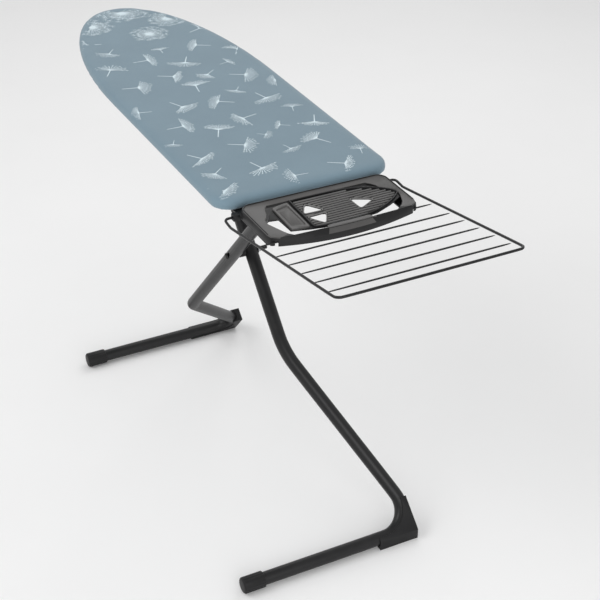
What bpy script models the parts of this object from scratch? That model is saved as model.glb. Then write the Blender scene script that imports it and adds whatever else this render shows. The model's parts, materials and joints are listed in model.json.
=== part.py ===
"""Ironing board with an iron rest, a linen rack and two crossed single-tube legs.

Local frame while modelling: x = 0 at the square end of the board, the nose towards -X, z = 0 on the floor.
An empty then shifts everything so that the origin lies under the middle of the whole object.
"""
import math

import bmesh
import bpy
from mathutils import Matrix, Vector

# ---------------------------------------------------------------- driving dimensions, metres and degrees
GAP = 0.0003                # gap between pieces that touch

BOARD_LENGTH = 1.200        # padded board, nose to square end
BOARD_WIDTH = 0.431
NOSE_LENGTH = 0.580         # tapered part at the nose
NOSE_POWER = 0.46           # 0.5 would be an ellipse
CORNER_RADIUS = 0.050       # corners of the square end
PAD_THICKNESS = 0.006
COVER_SIDE = 0.003          # thickness of the cover where it wraps the edge
COVER_DEPTH = 0.026         # from the top down to the hem
HEM_WIDTH = 0.022
HEM_THICKNESS = 0.0018
SHEET_THICKNESS = 0.0007
RIM_DIAMETER = 0.012        # tube round the edge of the board
CROSS_BAR_WIDTH = 0.022
CROSS_BAR_WALL = 0.0015     # the bars are channels, open upwards

TUBE_DIAMETER = 0.034       # legs
TUBE_WALL = 0.0014
LEG_ANGLE = 46.74           # slope of both legs
LEG_UPPER = 0.4600          # pivot to the pin under the board
LEG_LOWER = 0.7828          # pivot to the foot tube
PIN_DROP = 0.0544           # from the board's top down to the top pins
PIVOT_X = -0.4138
LEG_A_Y = 0.051             # upper stretch of each leg, sideways
LEG_B_Y = 0.001
KNEE_A = 0.513              # foot tube to knee, along the slope
KNEE_B = 0.3687
KNEE_A_RADIUS = 0.250
KNEE_B_RADIUS = 0.050
HEEL_Y = 0.254              # where the lower stretch meets the foot tube
HEEL_A_RADIUS = 0.070
HEEL_B_RADIUS = 0.042
FOOT_HALF = 0.2374          # half the stance of each foot

CAP_WALL = 0.0035            # cap's side, over the tube
CAP_LENGTH = 0.056
CAP_END = 0.006             # thickness of a cap's closed end
CAP_RIBS = 18
CAP_RIB_HEIGHT = 0.0011
SHOE_WALL = 0.0015           # shoe's sides, beside the tube
SHOE_A_INNER_Y = 0.131
SHOE_B_INNER_Y = 0.092
SHOE_RISE = 0.080           # height of the shoe's outer edge, along the slope
SHOE_PROW_WALL = 0.0025     # how far a shoe reaches beyond its foot tube

EYE_THICKNESS = 0.016       # fittings in the top ends of the legs
EYE_RADIUS = 0.012
EYE_DEPTH = 0.040           # how far a fitting goes into its tube
TUBE_SETBACK = 0.030        # from the pin to the end of the tube
PIN_DIAMETER = 0.008
PIN_CLEARANCE = 0.0001      # radial
EAR_THICKNESS = 0.003
EAR_CLEARANCE = 0.0005

PIVOT_DIAMETER = 0.010
PIVOT_HEAD_DIAMETER = 0.018
PIVOT_HEAD_HEIGHT = 0.004
PIVOT_STUB = 0.027          # bolt beyond leg A
SPACER_DIAMETER = 0.022
NUT_DIAMETER = 0.017
NUT_HEIGHT = 0.007
WASHER_DIAMETER = 0.022
WASHER_HEIGHT = 0.0015

RAIL_WIDTH = 0.032          # guide rail for the sliding leg
RAIL_HEIGHT = 0.015
RAIL_WALL = 0.0015
RAIL_LIP = 0.0035
RAIL_OVERRUN = 0.012        # rail beyond the carriage at each end of its travel
FOLDED_ANGLE = 2.24         # slope of the legs when folded flat
CARRIAGE_LENGTH = 0.050
CARRIAGE_CLEARANCE = 0.0006
STOP_LENGTH = 0.006

RELEASE_Y = 0.088           # release bar, sideways
RELEASE_DROP = 0.030        # its axis below the board's top
BAR_WIDTH = 0.010
BAR_THICKNESS = 0.004
BAR_HOLE = 0.0062           # radius of the holes it turns in
LEVER_X = -0.135
LEVER_REACH = 0.104
LEVER_SLOPE = 14.0
GRIP_LENGTH = 0.055
SPRING_RADIUS = 0.0078
SPRING_WIRE = 0.0006
SPRING_TURNS = 5

REST_TOP_DROP = 0.006       # iron rest's rim below the board's top
REST_SIDE_INSET = 0.0405     # rest's side inwards from the board's side
REST_BACK = 0.0150
REST_FRONT = 0.178          # front edge at the corners
REST_BOW = 0.016            # how much further the front edge stands at its middle
REST_HEIGHT = 0.0203
REST_DIP = 0.005            # how much lower the bottom edge hangs at the middle of the front
REST_WALL = 0.003
REST_CORNER = 0.022
PLATE_TOP_DROP = 0.012      # iron plate below the board's top
PLATE_THICKNESS = 0.0027
ARM_WIDTH = 0.026
ARM_THICKNESS = 0.004
ARM_INSET = 0.014           # middle of an arm, inwards from the rest's side
ARM_LENGTH = 0.150          # from the square end outwards
SCREW_DIAMETER = 0.005
SCREW_HEAD = 0.0095

RACK_SIDE_GAP = 0.0325      # rack's side wires beyond the rest's sides
RACK_TILT = 10.0
RACK_WIRE = 0.0065
RACK_BAR_WIRE = 0.0046
RACK_BARS = 6
RACK_FIRST_BAR = 0.1575     # hinge to the first bar, which the iron rest holds
RACK_SECOND_BAR = 0.2310
RACK_BAR_STEP = 0.0560
RACK_LENGTH = 0.506         # hinge to the outer wire
RACK_KNEE = 0.034
RACK_KNEE_DROP = 0.0038
RACK_HINGE_X = 0.016
RACK_HINGE_DROP = 0.0295    # hinge below the board's top
HINGE_BLOCK_WIDTH = 0.014
HINGE_BLOCK_LENGTH = 0.014  # along Y, from the arm outwards
NOTCH_CLEARANCE = 0.0006    # round the first bar where the rest holds it

# ---------------------------------------------------------------- derived sizes
TUBE_RADIUS = TUBE_DIAMETER / 2
CAP_DIAMETER = TUBE_DIAMETER + 2 * CAP_WALL
SHOE_THICKNESS = TUBE_DIAMETER + 2 * SHOE_WALL
SHOE_PROW = TUBE_RADIUS + SHOE_PROW_WALL
CROSS_BAR_HEIGHT = RIM_DIAMETER     # so what is fixed below the bars clears the tube
REST_HALF_WIDTH = BOARD_WIDTH / 2 - REST_SIDE_INSET
RACK_HALF_WIDTH = REST_HALF_WIDTH + RACK_SIDE_GAP
ARM_Y = REST_HALF_WIDTH - ARM_INSET
SLOPE = math.radians(LEG_ANGLE)
FOOT_Z = CAP_DIAMETER / 2
PIVOT_Z = FOOT_Z + LEG_LOWER * math.sin(SLOPE)
PIN_Z = PIVOT_Z + LEG_UPPER * math.sin(SLOPE)
TOP_Z = PIN_Z + PIN_DROP
PIN_B_X = PIVOT_X + LEG_UPPER * math.cos(SLOPE)
PIN_A_X = PIVOT_X - LEG_UPPER * math.cos(SLOPE)
PIN_A_FOLDED_X = PIN_B_X - 2 * LEG_UPPER * math.cos(math.radians(FOLDED_ANGLE))
SHEET_TOP = TOP_Z - PAD_THICKNESS - GAP
SHEET_BOTTOM = SHEET_TOP - SHEET_THICKNESS
FRAME_TOP = SHEET_BOTTOM - GAP
RIM_Z = FRAME_TOP - RIM_DIAMETER / 2
RIM_INSET = COVER_SIDE + GAP + RIM_DIAMETER / 2
BAR_BOTTOM = FRAME_TOP - CROSS_BAR_HEIGHT
FITTING_TOP = BAR_BOTTOM - GAP
RAIL_START = PIN_A_FOLDED_X - CARRIAGE_LENGTH / 2 - RAIL_OVERRUN
RAIL_END = PIN_A_X + CARRIAGE_LENGTH / 2 + RAIL_OVERRUN
RELEASE_Z = TOP_Z - RELEASE_DROP
REST_TOP = TOP_Z - REST_TOP_DROP
REST_BOTTOM = REST_TOP - REST_HEIGHT
ARM_TOP = REST_BOTTOM - GAP
RACK_HINGE_Z = TOP_Z - RACK_HINGE_DROP
RACK_END_Y = ARM_Y + ARM_WIDTH / 2 + 2 * GAP
RACK_OUT_X = RACK_HINGE_X + RACK_KNEE + (RACK_LENGTH - RACK_KNEE) * math.cos(math.radians(RACK_TILT))
CENTRE_X = (RACK_OUT_X + RACK_WIRE / 2 - BOARD_LENGTH) / 2
CROSS_BAR_XS = (PIN_B_X, (PIN_B_X + RAIL_END) / 2, RAIL_END - CROSS_BAR_WIDTH / 2, RAIL_START + CROSS_BAR_WIDTH / 2)

OUTLINE_STEPS = 18          # points along each stretch of the board's outline
TUBE_SIDES = 16
WIRE_SIDES = 8


# ---------------------------------------------------------------- scene helpers
def clear_scene():
    for obj in list(bpy.data.objects):
        bpy.data.objects.remove(obj, do_unlink=True)


def material(name, color, roughness, metallic=0.0):
    mat = bpy.data.materials.new(name)
    mat.use_nodes = True
    shader = mat.node_tree.nodes["Principled BSDF"]
    shader.inputs["Base Color"].default_value = (*color, 1.0)
    shader.inputs["Roughness"].default_value = roughness
    shader.inputs["Metallic"].default_value = metallic
    mat.diffuse_color = (*color, 1.0)
    return mat


def empty(name, location, parent=None):
    """An empty at a place in the local frame; pieces are parented to it."""
    obj = bpy.data.objects.new(name, None)
    bpy.context.scene.collection.objects.link(obj)
    obj["place"] = tuple(location)
    obj.parent = parent
    start = Vector(parent["place"]) if parent else Vector()
    obj.location = Vector(location) - start
    return obj


def add(name, bm, mat, parent, smooth=True):
    """Turn a bmesh in the local frame into an object whose origin is its parent's."""
    bmesh.ops.remove_doubles(bm, verts=bm.verts, dist=1e-6)
    bmesh.ops.recalc_face_normals(bm, faces=bm.faces)
    mesh = bpy.data.meshes.new(name)
    bmesh.ops.translate(bm, verts=bm.verts, vec=-Vector(parent["place"]))
    bm.to_mesh(mesh)
    bm.free()
    mesh.materials.append(mat)
    if smooth:
        mesh.shade_smooth()
        mesh.set_sharp_from_angle(angle=math.radians(35))
    obj = bpy.data.objects.new(name, mesh)
    bpy.context.scene.collection.objects.link(obj)
    obj.parent = parent
    return obj


def cutter(name, bm, parent):
    obj = add(name, bm, MATERIALS["steel"], parent, smooth=False)
    obj.hide_render = True
    obj.display_type = "WIRE"
    return obj


def cut(target, tool, operation="DIFFERENCE"):
    modifier = target.modifiers.new("cut", "BOOLEAN")
    modifier.operation = operation
    modifier.solver = "EXACT"
    modifier.object = tool


# ---------------------------------------------------------------- shapes
def box(low, high):
    bm = bmesh.new()
    bmesh.ops.create_cube(bm, size=1.0)
    low, high = Vector(low), Vector(high)
    for vert in bm.verts:
        vert.co = Vector((low[i] + (vert.co[i] + 0.5) * (high[i] - low[i]) for i in range(3)))
    return bm


def ring_loft(loops, cyclic=False):
    """Skin closed loops of equal length; cyclic joins the last to the first, otherwise both ends are filled."""
    bm = bmesh.new()
    rings = [[bm.verts.new(point) for point in loop] for loop in loops]
    count = len(rings[0])
    pairs = list(zip(rings, rings[1:]))
    if cyclic:
        pairs.append((rings[-1], rings[0]))
    for one, two in pairs:
        for i in range(count):
            j = (i + 1) % count
            bm.faces.new((one[i], one[j], two[j], two[i]))
    if not cyclic:
        bm.faces.new(rings[0])
        bm.faces.new(list(reversed(rings[-1])))
    return bm


def circle(centre, axis_u, axis_v, radius, sides, phase=0.0):
    points = []
    for i in range(sides):
        angle = phase + 2 * math.pi * i / sides
        points.append(centre + radius * (math.cos(angle) * axis_u + math.sin(angle) * axis_v))
    return points


def path_loops(path, radius, sides, closed=False):
    """Circles square to a path, turned as little as possible from one to the next."""
    path = [Vector(point) for point in path]
    count = len(path)
    loops = []
    previous_u = None
    for i, point in enumerate(path):
        before = path[(i - 1) % count] if closed or i else None
        after = path[(i + 1) % count] if closed or i < count - 1 else None
        into = (point - before).normalized() if before is not None else None
        out = (after - point).normalized() if after is not None else None
        into = into or out
        out = out or into
        tangent = (into + out).normalized()
        if previous_u is None:
            seed = Vector((0, 0, 1)) if abs(tangent.z) < 0.9 else Vector((1, 0, 0))
            previous_u = (seed - tangent * seed.dot(tangent)).normalized()
        axis_u = (previous_u - tangent * previous_u.dot(tangent)).normalized()
        previous_u = axis_u
        axis_v = tangent.cross(axis_u)
        loops.append(circle(point, axis_u, axis_v, radius, sides))
    return loops


def wire(path, radius, sides=WIRE_SIDES):
    return ring_loft(path_loops(path, radius, sides))


def pipe(path, radius, wall, sides=TUBE_SIDES):
    """A hollow tube, open at both ends."""
    outer = path_loops(path, radius, sides)
    inner = path_loops(path, radius - wall, sides)
    return ring_loft(outer + list(reversed(inner)), cyclic=True)


def fillet(corners, radii, steps):
    """Replace the inner corners of a polyline by arcs."""
    points = [Vector(corners[0])]
    for i in range(1, len(corners) - 1):
        corner = Vector(corners[i])
        back = (Vector(corners[i - 1]) - corner).normalized()
        ahead = (Vector(corners[i + 1]) - corner).normalized()
        opening = back.angle(ahead)
        reach = radii[i - 1] / math.tan(opening / 2)
        centre = corner + (back + ahead).normalized() * (radii[i - 1] / math.sin(opening / 2))
        start = corner + back * reach - centre
        finish = corner + ahead * reach - centre
        turn = start.angle(finish)
        for k in range(steps[i - 1] + 1):
            share = k / steps[i - 1]
            points.append(centre + (math.sin(turn * (1 - share)) * start + math.sin(turn * share) * finish)
                          / math.sin(turn))
    points.append(Vector(corners[-1]))
    return points


def cylinder_y(x, z, y_low, y_high, radius, sides=16, bore=0.0):
    """A round bar or, with a bore, a ring, along Y."""
    ends = [Vector((x, y_low, z)), Vector((x, y_high, z))]
    phase = math.pi / sides
    unit_x, unit_z = Vector((1, 0, 0)), Vector((0, 0, 1))
    outer = [circle(end, unit_x, unit_z, radius, sides, phase) for end in ends]
    if not bore:
        return ring_loft(outer)
    inner = [circle(end, unit_x, unit_z, bore, sides, phase) for end in reversed(ends)]
    return ring_loft(outer + inner, cyclic=True)


def cylinder_z(x, y, z_low, z_high, radius, sides=12):
    unit_x, unit_y = Vector((1, 0, 0)), Vector((0, 1, 0))
    return ring_loft([circle(Vector((x, y, z)), unit_x, unit_y, radius, sides) for z in (z_low, z_high)])


def join(*parts):
    """One bmesh from several that are going to be one piece, or several bodies of a cutter."""
    whole = bmesh.new()
    for part in parts:
        mesh = bpy.data.meshes.new("part")
        part.to_mesh(mesh)
        part.free()
        whole.from_mesh(mesh)
        bpy.data.meshes.remove(mesh)
    return whole


def extrude_outline(outline, depth_vector):
    """A prism: a flat outline and its copy moved by the vector."""
    shifted = [Vector(point) + depth_vector for point in outline]
    return ring_loft([[Vector(point) for point in outline], shifted])


def prism_with_holes(outline, holes, z_low, z_high):
    """An upright plate with holes right through it."""
    bm = bmesh.new()
    edges = []
    for loop in [outline] + holes:
        verts = [bm.verts.new((x, y, z_low)) for x, y in loop]
        edges += [bm.edges.new((verts[i], verts[(i + 1) % len(verts)])) for i in range(len(verts))]
    bmesh.ops.triangle_fill(bm, edges=edges, use_beauty=True)
    result = bmesh.ops.extrude_face_region(bm, geom=bm.faces[:])
    moved = [item for item in result["geom"] if isinstance(item, bmesh.types.BMVert)]
    bmesh.ops.translate(bm, verts=moved, vec=(0, 0, z_high - z_low))
    return bm


# ---------------------------------------------------------------- board outline
def board_half_width(x):
    """Half the width of the padded board at x, without the rounded corners of the square end."""
    start = NOSE_LENGTH - BOARD_LENGTH
    if x >= start:
        return BOARD_WIDTH / 2
    share = min(1.0, (start - x) / NOSE_LENGTH)
    return BOARD_WIDTH / 2 * (1 - share ** 2) ** NOSE_POWER


def half_outline():
    """Points on the +Y side, from the middle of the square end round to the nose."""
    half = BOARD_WIDTH / 2
    points = [(0.0, half * share) for share in (0.0, 0.4)]
    for k in range(OUTLINE_STEPS // 3 + 1):
        angle = math.pi / 2 * k / (OUTLINE_STEPS // 3)
        points.append((-CORNER_RADIUS + CORNER_RADIUS * math.cos(angle),
                       half - CORNER_RADIUS + CORNER_RADIUS * math.sin(angle)))
    start = NOSE_LENGTH - BOARD_LENGTH
    for k in range(1, 4):
        points.append((-CORNER_RADIUS + (start + CORNER_RADIUS) * k / 4, half))
    for k in range(OUTLINE_STEPS):
        share = math.sin(math.pi / 2 * k / OUTLINE_STEPS)
        x = start - NOSE_LENGTH * share
        points.append((x, board_half_width(x)))
    points.append((-BOARD_LENGTH, 0.0))
    return points


def outline(inset):
    """The whole outline, moved inwards by the inset, as (x, y) points anticlockwise from the square end."""
    right = half_outline()
    left = [(x, -y) for x, y in reversed(right[1:-1])]
    points = [Vector(point) for point in right + left]
    count = len(points)
    moved = []
    for i in range(count):
        one = (points[i] - points[i - 1]).normalized()
        two = (points[(i + 1) % count] - points[i]).normalized()
        along = (one + two).normalized()
        inward = Vector((-along.y, along.x))
        stretch = 1 / max(0.5, inward.dot(Vector((-one.y, one.x))))
        moved.append(points[i] + inward * inset * stretch)
    return moved


def outline_loop(inset, z):
    return [Vector((point.x, point.y, z)) for point in outline(inset)]


def frame_half_width(x):
    """Half the clear width between the inner sides of the rim tube at x."""
    points = outline(RIM_INSET + RIM_DIAMETER / 2 + GAP)
    best = 0.0
    for one, two in zip(points, points[1:]):
        low, high = sorted((one.x, two.x))
        if one.y > 0 and two.y > 0 and low <= x <= high and high > low:
            best = one.y + (two.y - one.y) * (x - one.x) / (two.x - one.x)
    return best


# ---------------------------------------------------------------- board
def make_cover(parent):
    top = TOP_Z
    hem = top - COVER_DEPTH
    under = COVER_SIDE * 0.9
    loops = [
        outline_loop(0.040, top),
        outline_loop(0.006, top),
        outline_loop(0.0018, top - 0.002),
        outline_loop(0.0, top - 0.007),
        outline_loop(0.0, hem + 0.006),
        outline_loop(0.0025, hem),
        outline_loop(HEM_WIDTH, hem),
        outline_loop(HEM_WIDTH, hem + HEM_THICKNESS),
        outline_loop(COVER_SIDE, hem + HEM_THICKNESS),
        outline_loop(under, top - 0.009),
        outline_loop(under, top - PAD_THICKNESS),
    ]
    return add("cover_pad", ring_loft(loops), MATERIALS["cover"], parent)


def make_sheet(parent):
    inset = COVER_SIDE + GAP
    loops = [outline_loop(inset, SHEET_BOTTOM), outline_loop(inset, SHEET_TOP)]
    return add("top_sheet", ring_loft(loops), MATERIALS["steel"], parent, smooth=False)


def make_rim(parent):
    path = outline_loop(RIM_INSET, RIM_Z)
    loops = path_loops(path, RIM_DIAMETER / 2, WIRE_SIDES, closed=True)
    return add("rim_tube", ring_loft(loops, cyclic=True), MATERIALS["black_steel"], parent)


def make_cross_bars(parent):
    for number, x in enumerate(CROSS_BAR_XS, start=1):
        far = x - CROSS_BAR_WIDTH / 2
        near = x + CROSS_BAR_WIDTH / 2
        half = min(frame_half_width(far), frame_half_width(near))
        wall = CROSS_BAR_WALL
        profile = [(far, FRAME_TOP), (far, BAR_BOTTOM), (near, BAR_BOTTOM), (near, FRAME_TOP),
                   (near - wall, FRAME_TOP), (near - wall, BAR_BOTTOM + wall), (far + wall, BAR_BOTTOM + wall),
                   (far + wall, FRAME_TOP)]
        points = [Vector((px, -half, pz)) for px, pz in profile]
        add(f"cross_bar_{number}", extrude_outline(points, Vector((0, 2 * half, 0))), MATERIALS["black_steel"], parent,
            smooth=False)


def make_guide_rail(parent):
    half = RAIL_WIDTH / 2
    top = FITTING_TOP
    bottom = top - RAIL_HEIGHT
    inner = half - RAIL_WALL
    lip = inner - RAIL_LIP + RAIL_WALL
    profile = [(-lip, bottom), (-half, bottom), (-half, top), (half, top), (half, bottom), (lip, bottom),
               (lip, bottom + RAIL_WALL), (inner, bottom + RAIL_WALL), (inner, top - RAIL_WALL),
               (-inner, top - RAIL_WALL), (-inner, bottom + RAIL_WALL), (-lip, bottom + RAIL_WALL)]
    points = [Vector((RAIL_START, LEG_A_Y + y, z)) for y, z in profile]
    bm = extrude_outline(points, Vector((RAIL_END - RAIL_START, 0, 0)))
    add("guide_rail", bm, MATERIALS["black_steel"], parent, smooth=False)
    width = inner - GAP
    for name, x in (("rail_stop_front", RAIL_START + GAP), ("rail_stop_rear", RAIL_END - STOP_LENGTH - GAP)):
        low = (x, LEG_A_Y - width, bottom + RAIL_WALL + GAP)
        high = (x + STOP_LENGTH, LEG_A_Y + width, top - RAIL_WALL - GAP)
        add(name, box(low, high), MATERIALS["plastic"], parent, smooth=False)


def ear_outline(x, z, top):
    """A hanging ear: straight sides above, round below the pin."""
    radius = EYE_RADIUS
    points = [(x + radius, top), (x - radius, top)]
    for k in range(9):
        angle = math.pi + math.pi * k / 8
        points.append((x + radius * math.cos(angle), z + radius * math.sin(angle)))
    return points


def fork(x, y, base_low, base_high):
    """A base block with two ears that carry a pin at the top-pin height; pin holes are cut later."""
    inner = EYE_THICKNESS / 2 + EAR_CLEARANCE
    outer = inner + EAR_THICKNESS
    base = box(base_low, base_high)
    ears = []
    for side in (-1, 1):
        low, high = sorted((side * inner, side * outer))
        points = [Vector((px, y + low, pz)) for px, pz in ear_outline(x, PIN_Z, base_low[2] + 0.0008)]
        ears.append(extrude_outline(points, Vector((0, high - low, 0))))
    return base, ears


def pin_hole(x, y, radius):
    half = EYE_THICKNESS
    return cylinder_y(x, PIN_Z, y - half, y + half, radius, sides=16)


def make_fork(name, x, y, base_low, base_high, mat, parent):
    base, ears = fork(x, y, base_low, base_high)
    body = add(name, base, mat, parent, smooth=False)
    for number, ear in enumerate(ears, start=1):
        cut(body, cutter(f"tool_{name}_ear_{number}", ear, parent), "UNION")
    hole = pin_hole(x, y, PIN_DIAMETER / 2 + PIN_CLEARANCE)
    cut(body, cutter(f"tool_{name}_hole", hole, parent))
    return body


def headed_pin(x, y, z, half, radius, head_radius, head_height, sides=16):
    """A pin along Y with a head at both ends."""
    loops = []
    unit_x, unit_z = Vector((1, 0, 0)), Vector((0, 0, 1))
    for offset, size in ((-half - head_height, head_radius * 0.8), (-half - head_height * 0.6, head_radius),
                         (-half, head_radius), (-half, radius), (half, radius), (half, head_radius),
                         (half + head_height * 0.6, head_radius), (half + head_height, head_radius * 0.8)):
        loops.append(circle(Vector((x, y + offset, z)), unit_x, unit_z, size, sides, math.pi / sides))
    return ring_loft(loops)


def make_top_pin(name, x, y, parent):
    half = EYE_THICKNESS / 2 + EAR_CLEARANCE + EAR_THICKNESS + GAP
    bm = headed_pin(x, y, PIN_Z, half, PIN_DIAMETER / 2, PIN_DIAMETER * 0.8, 0.002)
    return add(name, bm, MATERIALS["zinc"], parent)


def make_hinge_bracket(parent):
    length = 0.050
    width = 0.044
    low = (PIN_B_X - length / 2, LEG_B_Y - width / 2, FITTING_TOP - EAR_THICKNESS)
    high = (PIN_B_X + length / 2, LEG_B_Y + width / 2, FITTING_TOP)
    make_fork("hinge_bracket", PIN_B_X, LEG_B_Y, low, high, MATERIALS["black_steel"], parent)
    for side, name in ((-1, "bracket_rivet_left"), (1, "bracket_rivet_right")):
        y = LEG_B_Y + side * width * 0.38
        head = low[2] - GAP
        bm = cylinder_z(PIN_B_X, y, head - 0.002, head, 0.005)
        add(name, bm, MATERIALS["zinc"], parent)


def make_carriage(parent):
    half = RAIL_WIDTH / 2 - RAIL_WALL - CARRIAGE_CLEARANCE
    top = FITTING_TOP - RAIL_WALL - CARRIAGE_CLEARANCE
    bottom = FITTING_TOP - RAIL_HEIGHT + RAIL_WALL + CARRIAGE_CLEARANCE
    low = (PIN_A_X - CARRIAGE_LENGTH / 2, LEG_A_Y - half, bottom)
    high = (PIN_A_X + CARRIAGE_LENGTH / 2, LEG_A_Y + half, top)
    make_fork("carriage", PIN_A_X, LEG_A_Y, low, high, MATERIALS["plastic"], parent)


def make_latch_lug(parent):
    """The lug beside the carriage that runs along the release bar."""
    outer = BAR_HOLE + 0.0045
    half = 0.006
    x_low, x_high = PIN_A_X - half, PIN_A_X + half
    inner_y = LEG_A_Y + EYE_THICKNESS / 2 + EAR_CLEARANCE + EAR_THICKNESS + GAP
    middle = []
    for k in range(17):
        angle = -math.pi * 0.62 + math.pi * 1.24 * k / 16
        middle.append((RELEASE_Y + outer * math.cos(angle), RELEASE_Z + outer * math.sin(angle)))
    low_z = RELEASE_Z - 0.004 - 0.012
    profile = middle + [(RELEASE_Y - outer * 0.9, RELEASE_Z - 0.003), (inner_y, RELEASE_Z - 0.009),
                        (inner_y, low_z)]
    points = [Vector((x_low, y, z)) for y, z in profile]
    body = add("latch_lug", extrude_outline(points, Vector((x_high - x_low, 0, 0))), MATERIALS["plastic"], parent,
               smooth=False)
    unit_y, unit_z = Vector((0, 1, 0)), Vector((0, 0, 1))
    centres = [Vector((x, RELEASE_Y, RELEASE_Z)) for x in (x_low - 0.01, x_high + 0.01)]
    hole = ring_loft([circle(centre, unit_y, unit_z, BAR_HOLE, 16) for centre in centres])
    cut(body, cutter("tool_latch_hole", hole, parent))


# ---------------------------------------------------------------- release lever
def bar_section(x, angle=0.0):
    half_w, half_t = BAR_WIDTH / 2, BAR_THICKNESS / 2
    corners = [(-half_w, -half_t), (half_w, -half_t), (half_w, half_t), (-half_w, half_t)]
    turn = Matrix.Rotation(angle, 2)
    return [Vector((x, RELEASE_Y + (turn @ Vector(c)).x, RELEASE_Z + (turn @ Vector(c)).y)) for c in corners]


def make_release_bar(parent):
    start = RAIL_START
    return add("release_bar", ring_loft([bar_section(start), bar_section(LEVER_X)]), MATERIALS["zinc"], parent,
               smooth=False)


def make_lever(parent):
    slope = math.radians(LEVER_SLOPE)
    along = Vector((0, math.cos(slope), -math.sin(slope)))
    normal = Vector((0, math.sin(slope), math.cos(slope)))
    centre = Vector((LEVER_X + GAP, RELEASE_Y, RELEASE_Z))
    arm_width = 0.022
    arm_thickness = 0.0035
    hub = 0.0085
    outline_points = [centre + along * -hub - normal * hub * 0.8, centre + along * hub - normal * hub * 0.8,
                      centre + along * (hub * 2) - normal * arm_thickness,
                      centre + along * LEVER_REACH - normal * arm_thickness,
                      centre + along * LEVER_REACH, centre + along * (hub * 2),
                      centre + along * hub + normal * hub * 0.4, centre + along * -hub + normal * hub * 0.4]
    add("lever_arm", extrude_outline(outline_points, Vector((arm_width, 0, 0))), MATERIALS["black_steel"], parent,
        smooth=False)
    half_x = GRIP_LENGTH / 2
    middle_x = LEVER_X + arm_width / 2
    thick = 0.006
    start = centre + along * (LEVER_REACH + GAP)
    loops = []
    for step, size in ((0.0, 0.75), (0.004, 1.0), (0.014, 1.0), (0.018, 0.75)):
        base = start + along * step
        loop = []
        for sx, sn in ((-1, -1), (1, -1), (1, 1), (-1, 1)):
            loop.append(Vector((middle_x + sx * half_x * (0.9 + 0.1 * size), base.y, base.z))
                        + normal * (sn * thick * size - arm_thickness / 2))
        loops.append(loop)
    add("lever_grip", ring_loft(loops), MATERIALS["plastic"], parent, smooth=False)


def make_bar_clips(parent):
    """Blocks under the cross bars, in which the release bar turns."""
    half = 0.005
    radius = BAR_HOLE + 0.003
    top = FITTING_TOP
    for number, x in enumerate(CROSS_BAR_XS, start=1):
        profile = [(RELEASE_Y + radius, top), (RELEASE_Y - radius, top)]
        for k in range(9):
            angle = math.pi + math.pi * k / 8
            profile.append((RELEASE_Y + radius * math.cos(angle), RELEASE_Z + radius * math.sin(angle)))
        points = [Vector((x - half, y, z)) for y, z in profile]
        name = f"bar_clip_{number}"
        body = add(name, extrude_outline(points, Vector((2 * half, 0, 0))), MATERIALS["plastic"], parent,
                   smooth=False)
        unit_y, unit_z = Vector((0, 1, 0)), Vector((0, 0, 1))
        centres = [Vector((px, RELEASE_Y, RELEASE_Z)) for px in (x - 0.02, x + 0.02)]
        hole = ring_loft([circle(centre, unit_y, unit_z, BAR_HOLE, 16) for centre in centres])
        cut(body, cutter(f"tool_{name}", hole, parent))


def make_lever_spring(parent):
    """Torsion spring round the release bar, between its first clip and the lever."""
    start = LEVER_X - 0.016
    steps = SPRING_TURNS * 12
    pitch = SPRING_WIRE * 3.0
    path = []
    for k in range(steps + 1):
        angle = 2 * math.pi * k / 12
        x = start + pitch * k / 12
        path.append((x, RELEASE_Y + SPRING_RADIUS * math.cos(angle), RELEASE_Z + SPRING_RADIUS * math.sin(angle)))
    add("lever_spring", wire(path, SPRING_WIRE, 6), MATERIALS["zinc"], parent)


# ---------------------------------------------------------------- legs
def leg_point(side, along, y):
    """A point in a leg's sloping plane: along is measured up from the foot tube; side -1 is leg A, 1 is leg B."""
    foot_x = PIVOT_X - side * LEG_LOWER * math.cos(SLOPE)
    return Vector((foot_x + side * along * math.cos(SLOPE), y, FOOT_Z + along * math.sin(SLOPE)))


def leg_path(side, leg_y, knee, knee_radius, heel_radius):
    total = LEG_LOWER + LEG_UPPER - TUBE_SETBACK
    cap_y = -FOOT_HALF + CAP_END + GAP
    corners = [leg_point(side, total, leg_y), leg_point(side, knee, leg_y), leg_point(side, 0.0, HEEL_Y),
               leg_point(side, 0.0, cap_y)]
    return fillet(corners, (knee_radius, heel_radius), (6, 12))


LEGS = {
    "a": (-1, LEG_A_Y, KNEE_A, KNEE_A_RADIUS, HEEL_A_RADIUS, SHOE_A_INNER_Y),
    "b": (1, LEG_B_Y, KNEE_B, KNEE_B_RADIUS, HEEL_B_RADIUS, SHOE_B_INNER_Y),
}


def make_leg(letter, parent):
    side, leg_y, knee, knee_radius, heel_radius, shoe_y = LEGS[letter]
    path = leg_path(side, leg_y, knee, knee_radius, heel_radius)
    tube = add(f"leg_{letter}_tube", pipe(path, TUBE_RADIUS, TUBE_WALL), MATERIALS["black_steel"], parent)
    reach = TUBE_DIAMETER
    hole = cylinder_y(PIVOT_X, PIVOT_Z, leg_y - reach, leg_y + reach, PIVOT_DIAMETER / 2 + PIN_CLEARANCE)
    cut(tube, cutter(f"tool_leg_{letter}_hole", hole, parent))
    make_eye(letter, side, leg_y, parent)
    make_cap(letter, side, parent)
    make_shoe(letter, side, path, heel_radius, shoe_y, parent)


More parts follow.
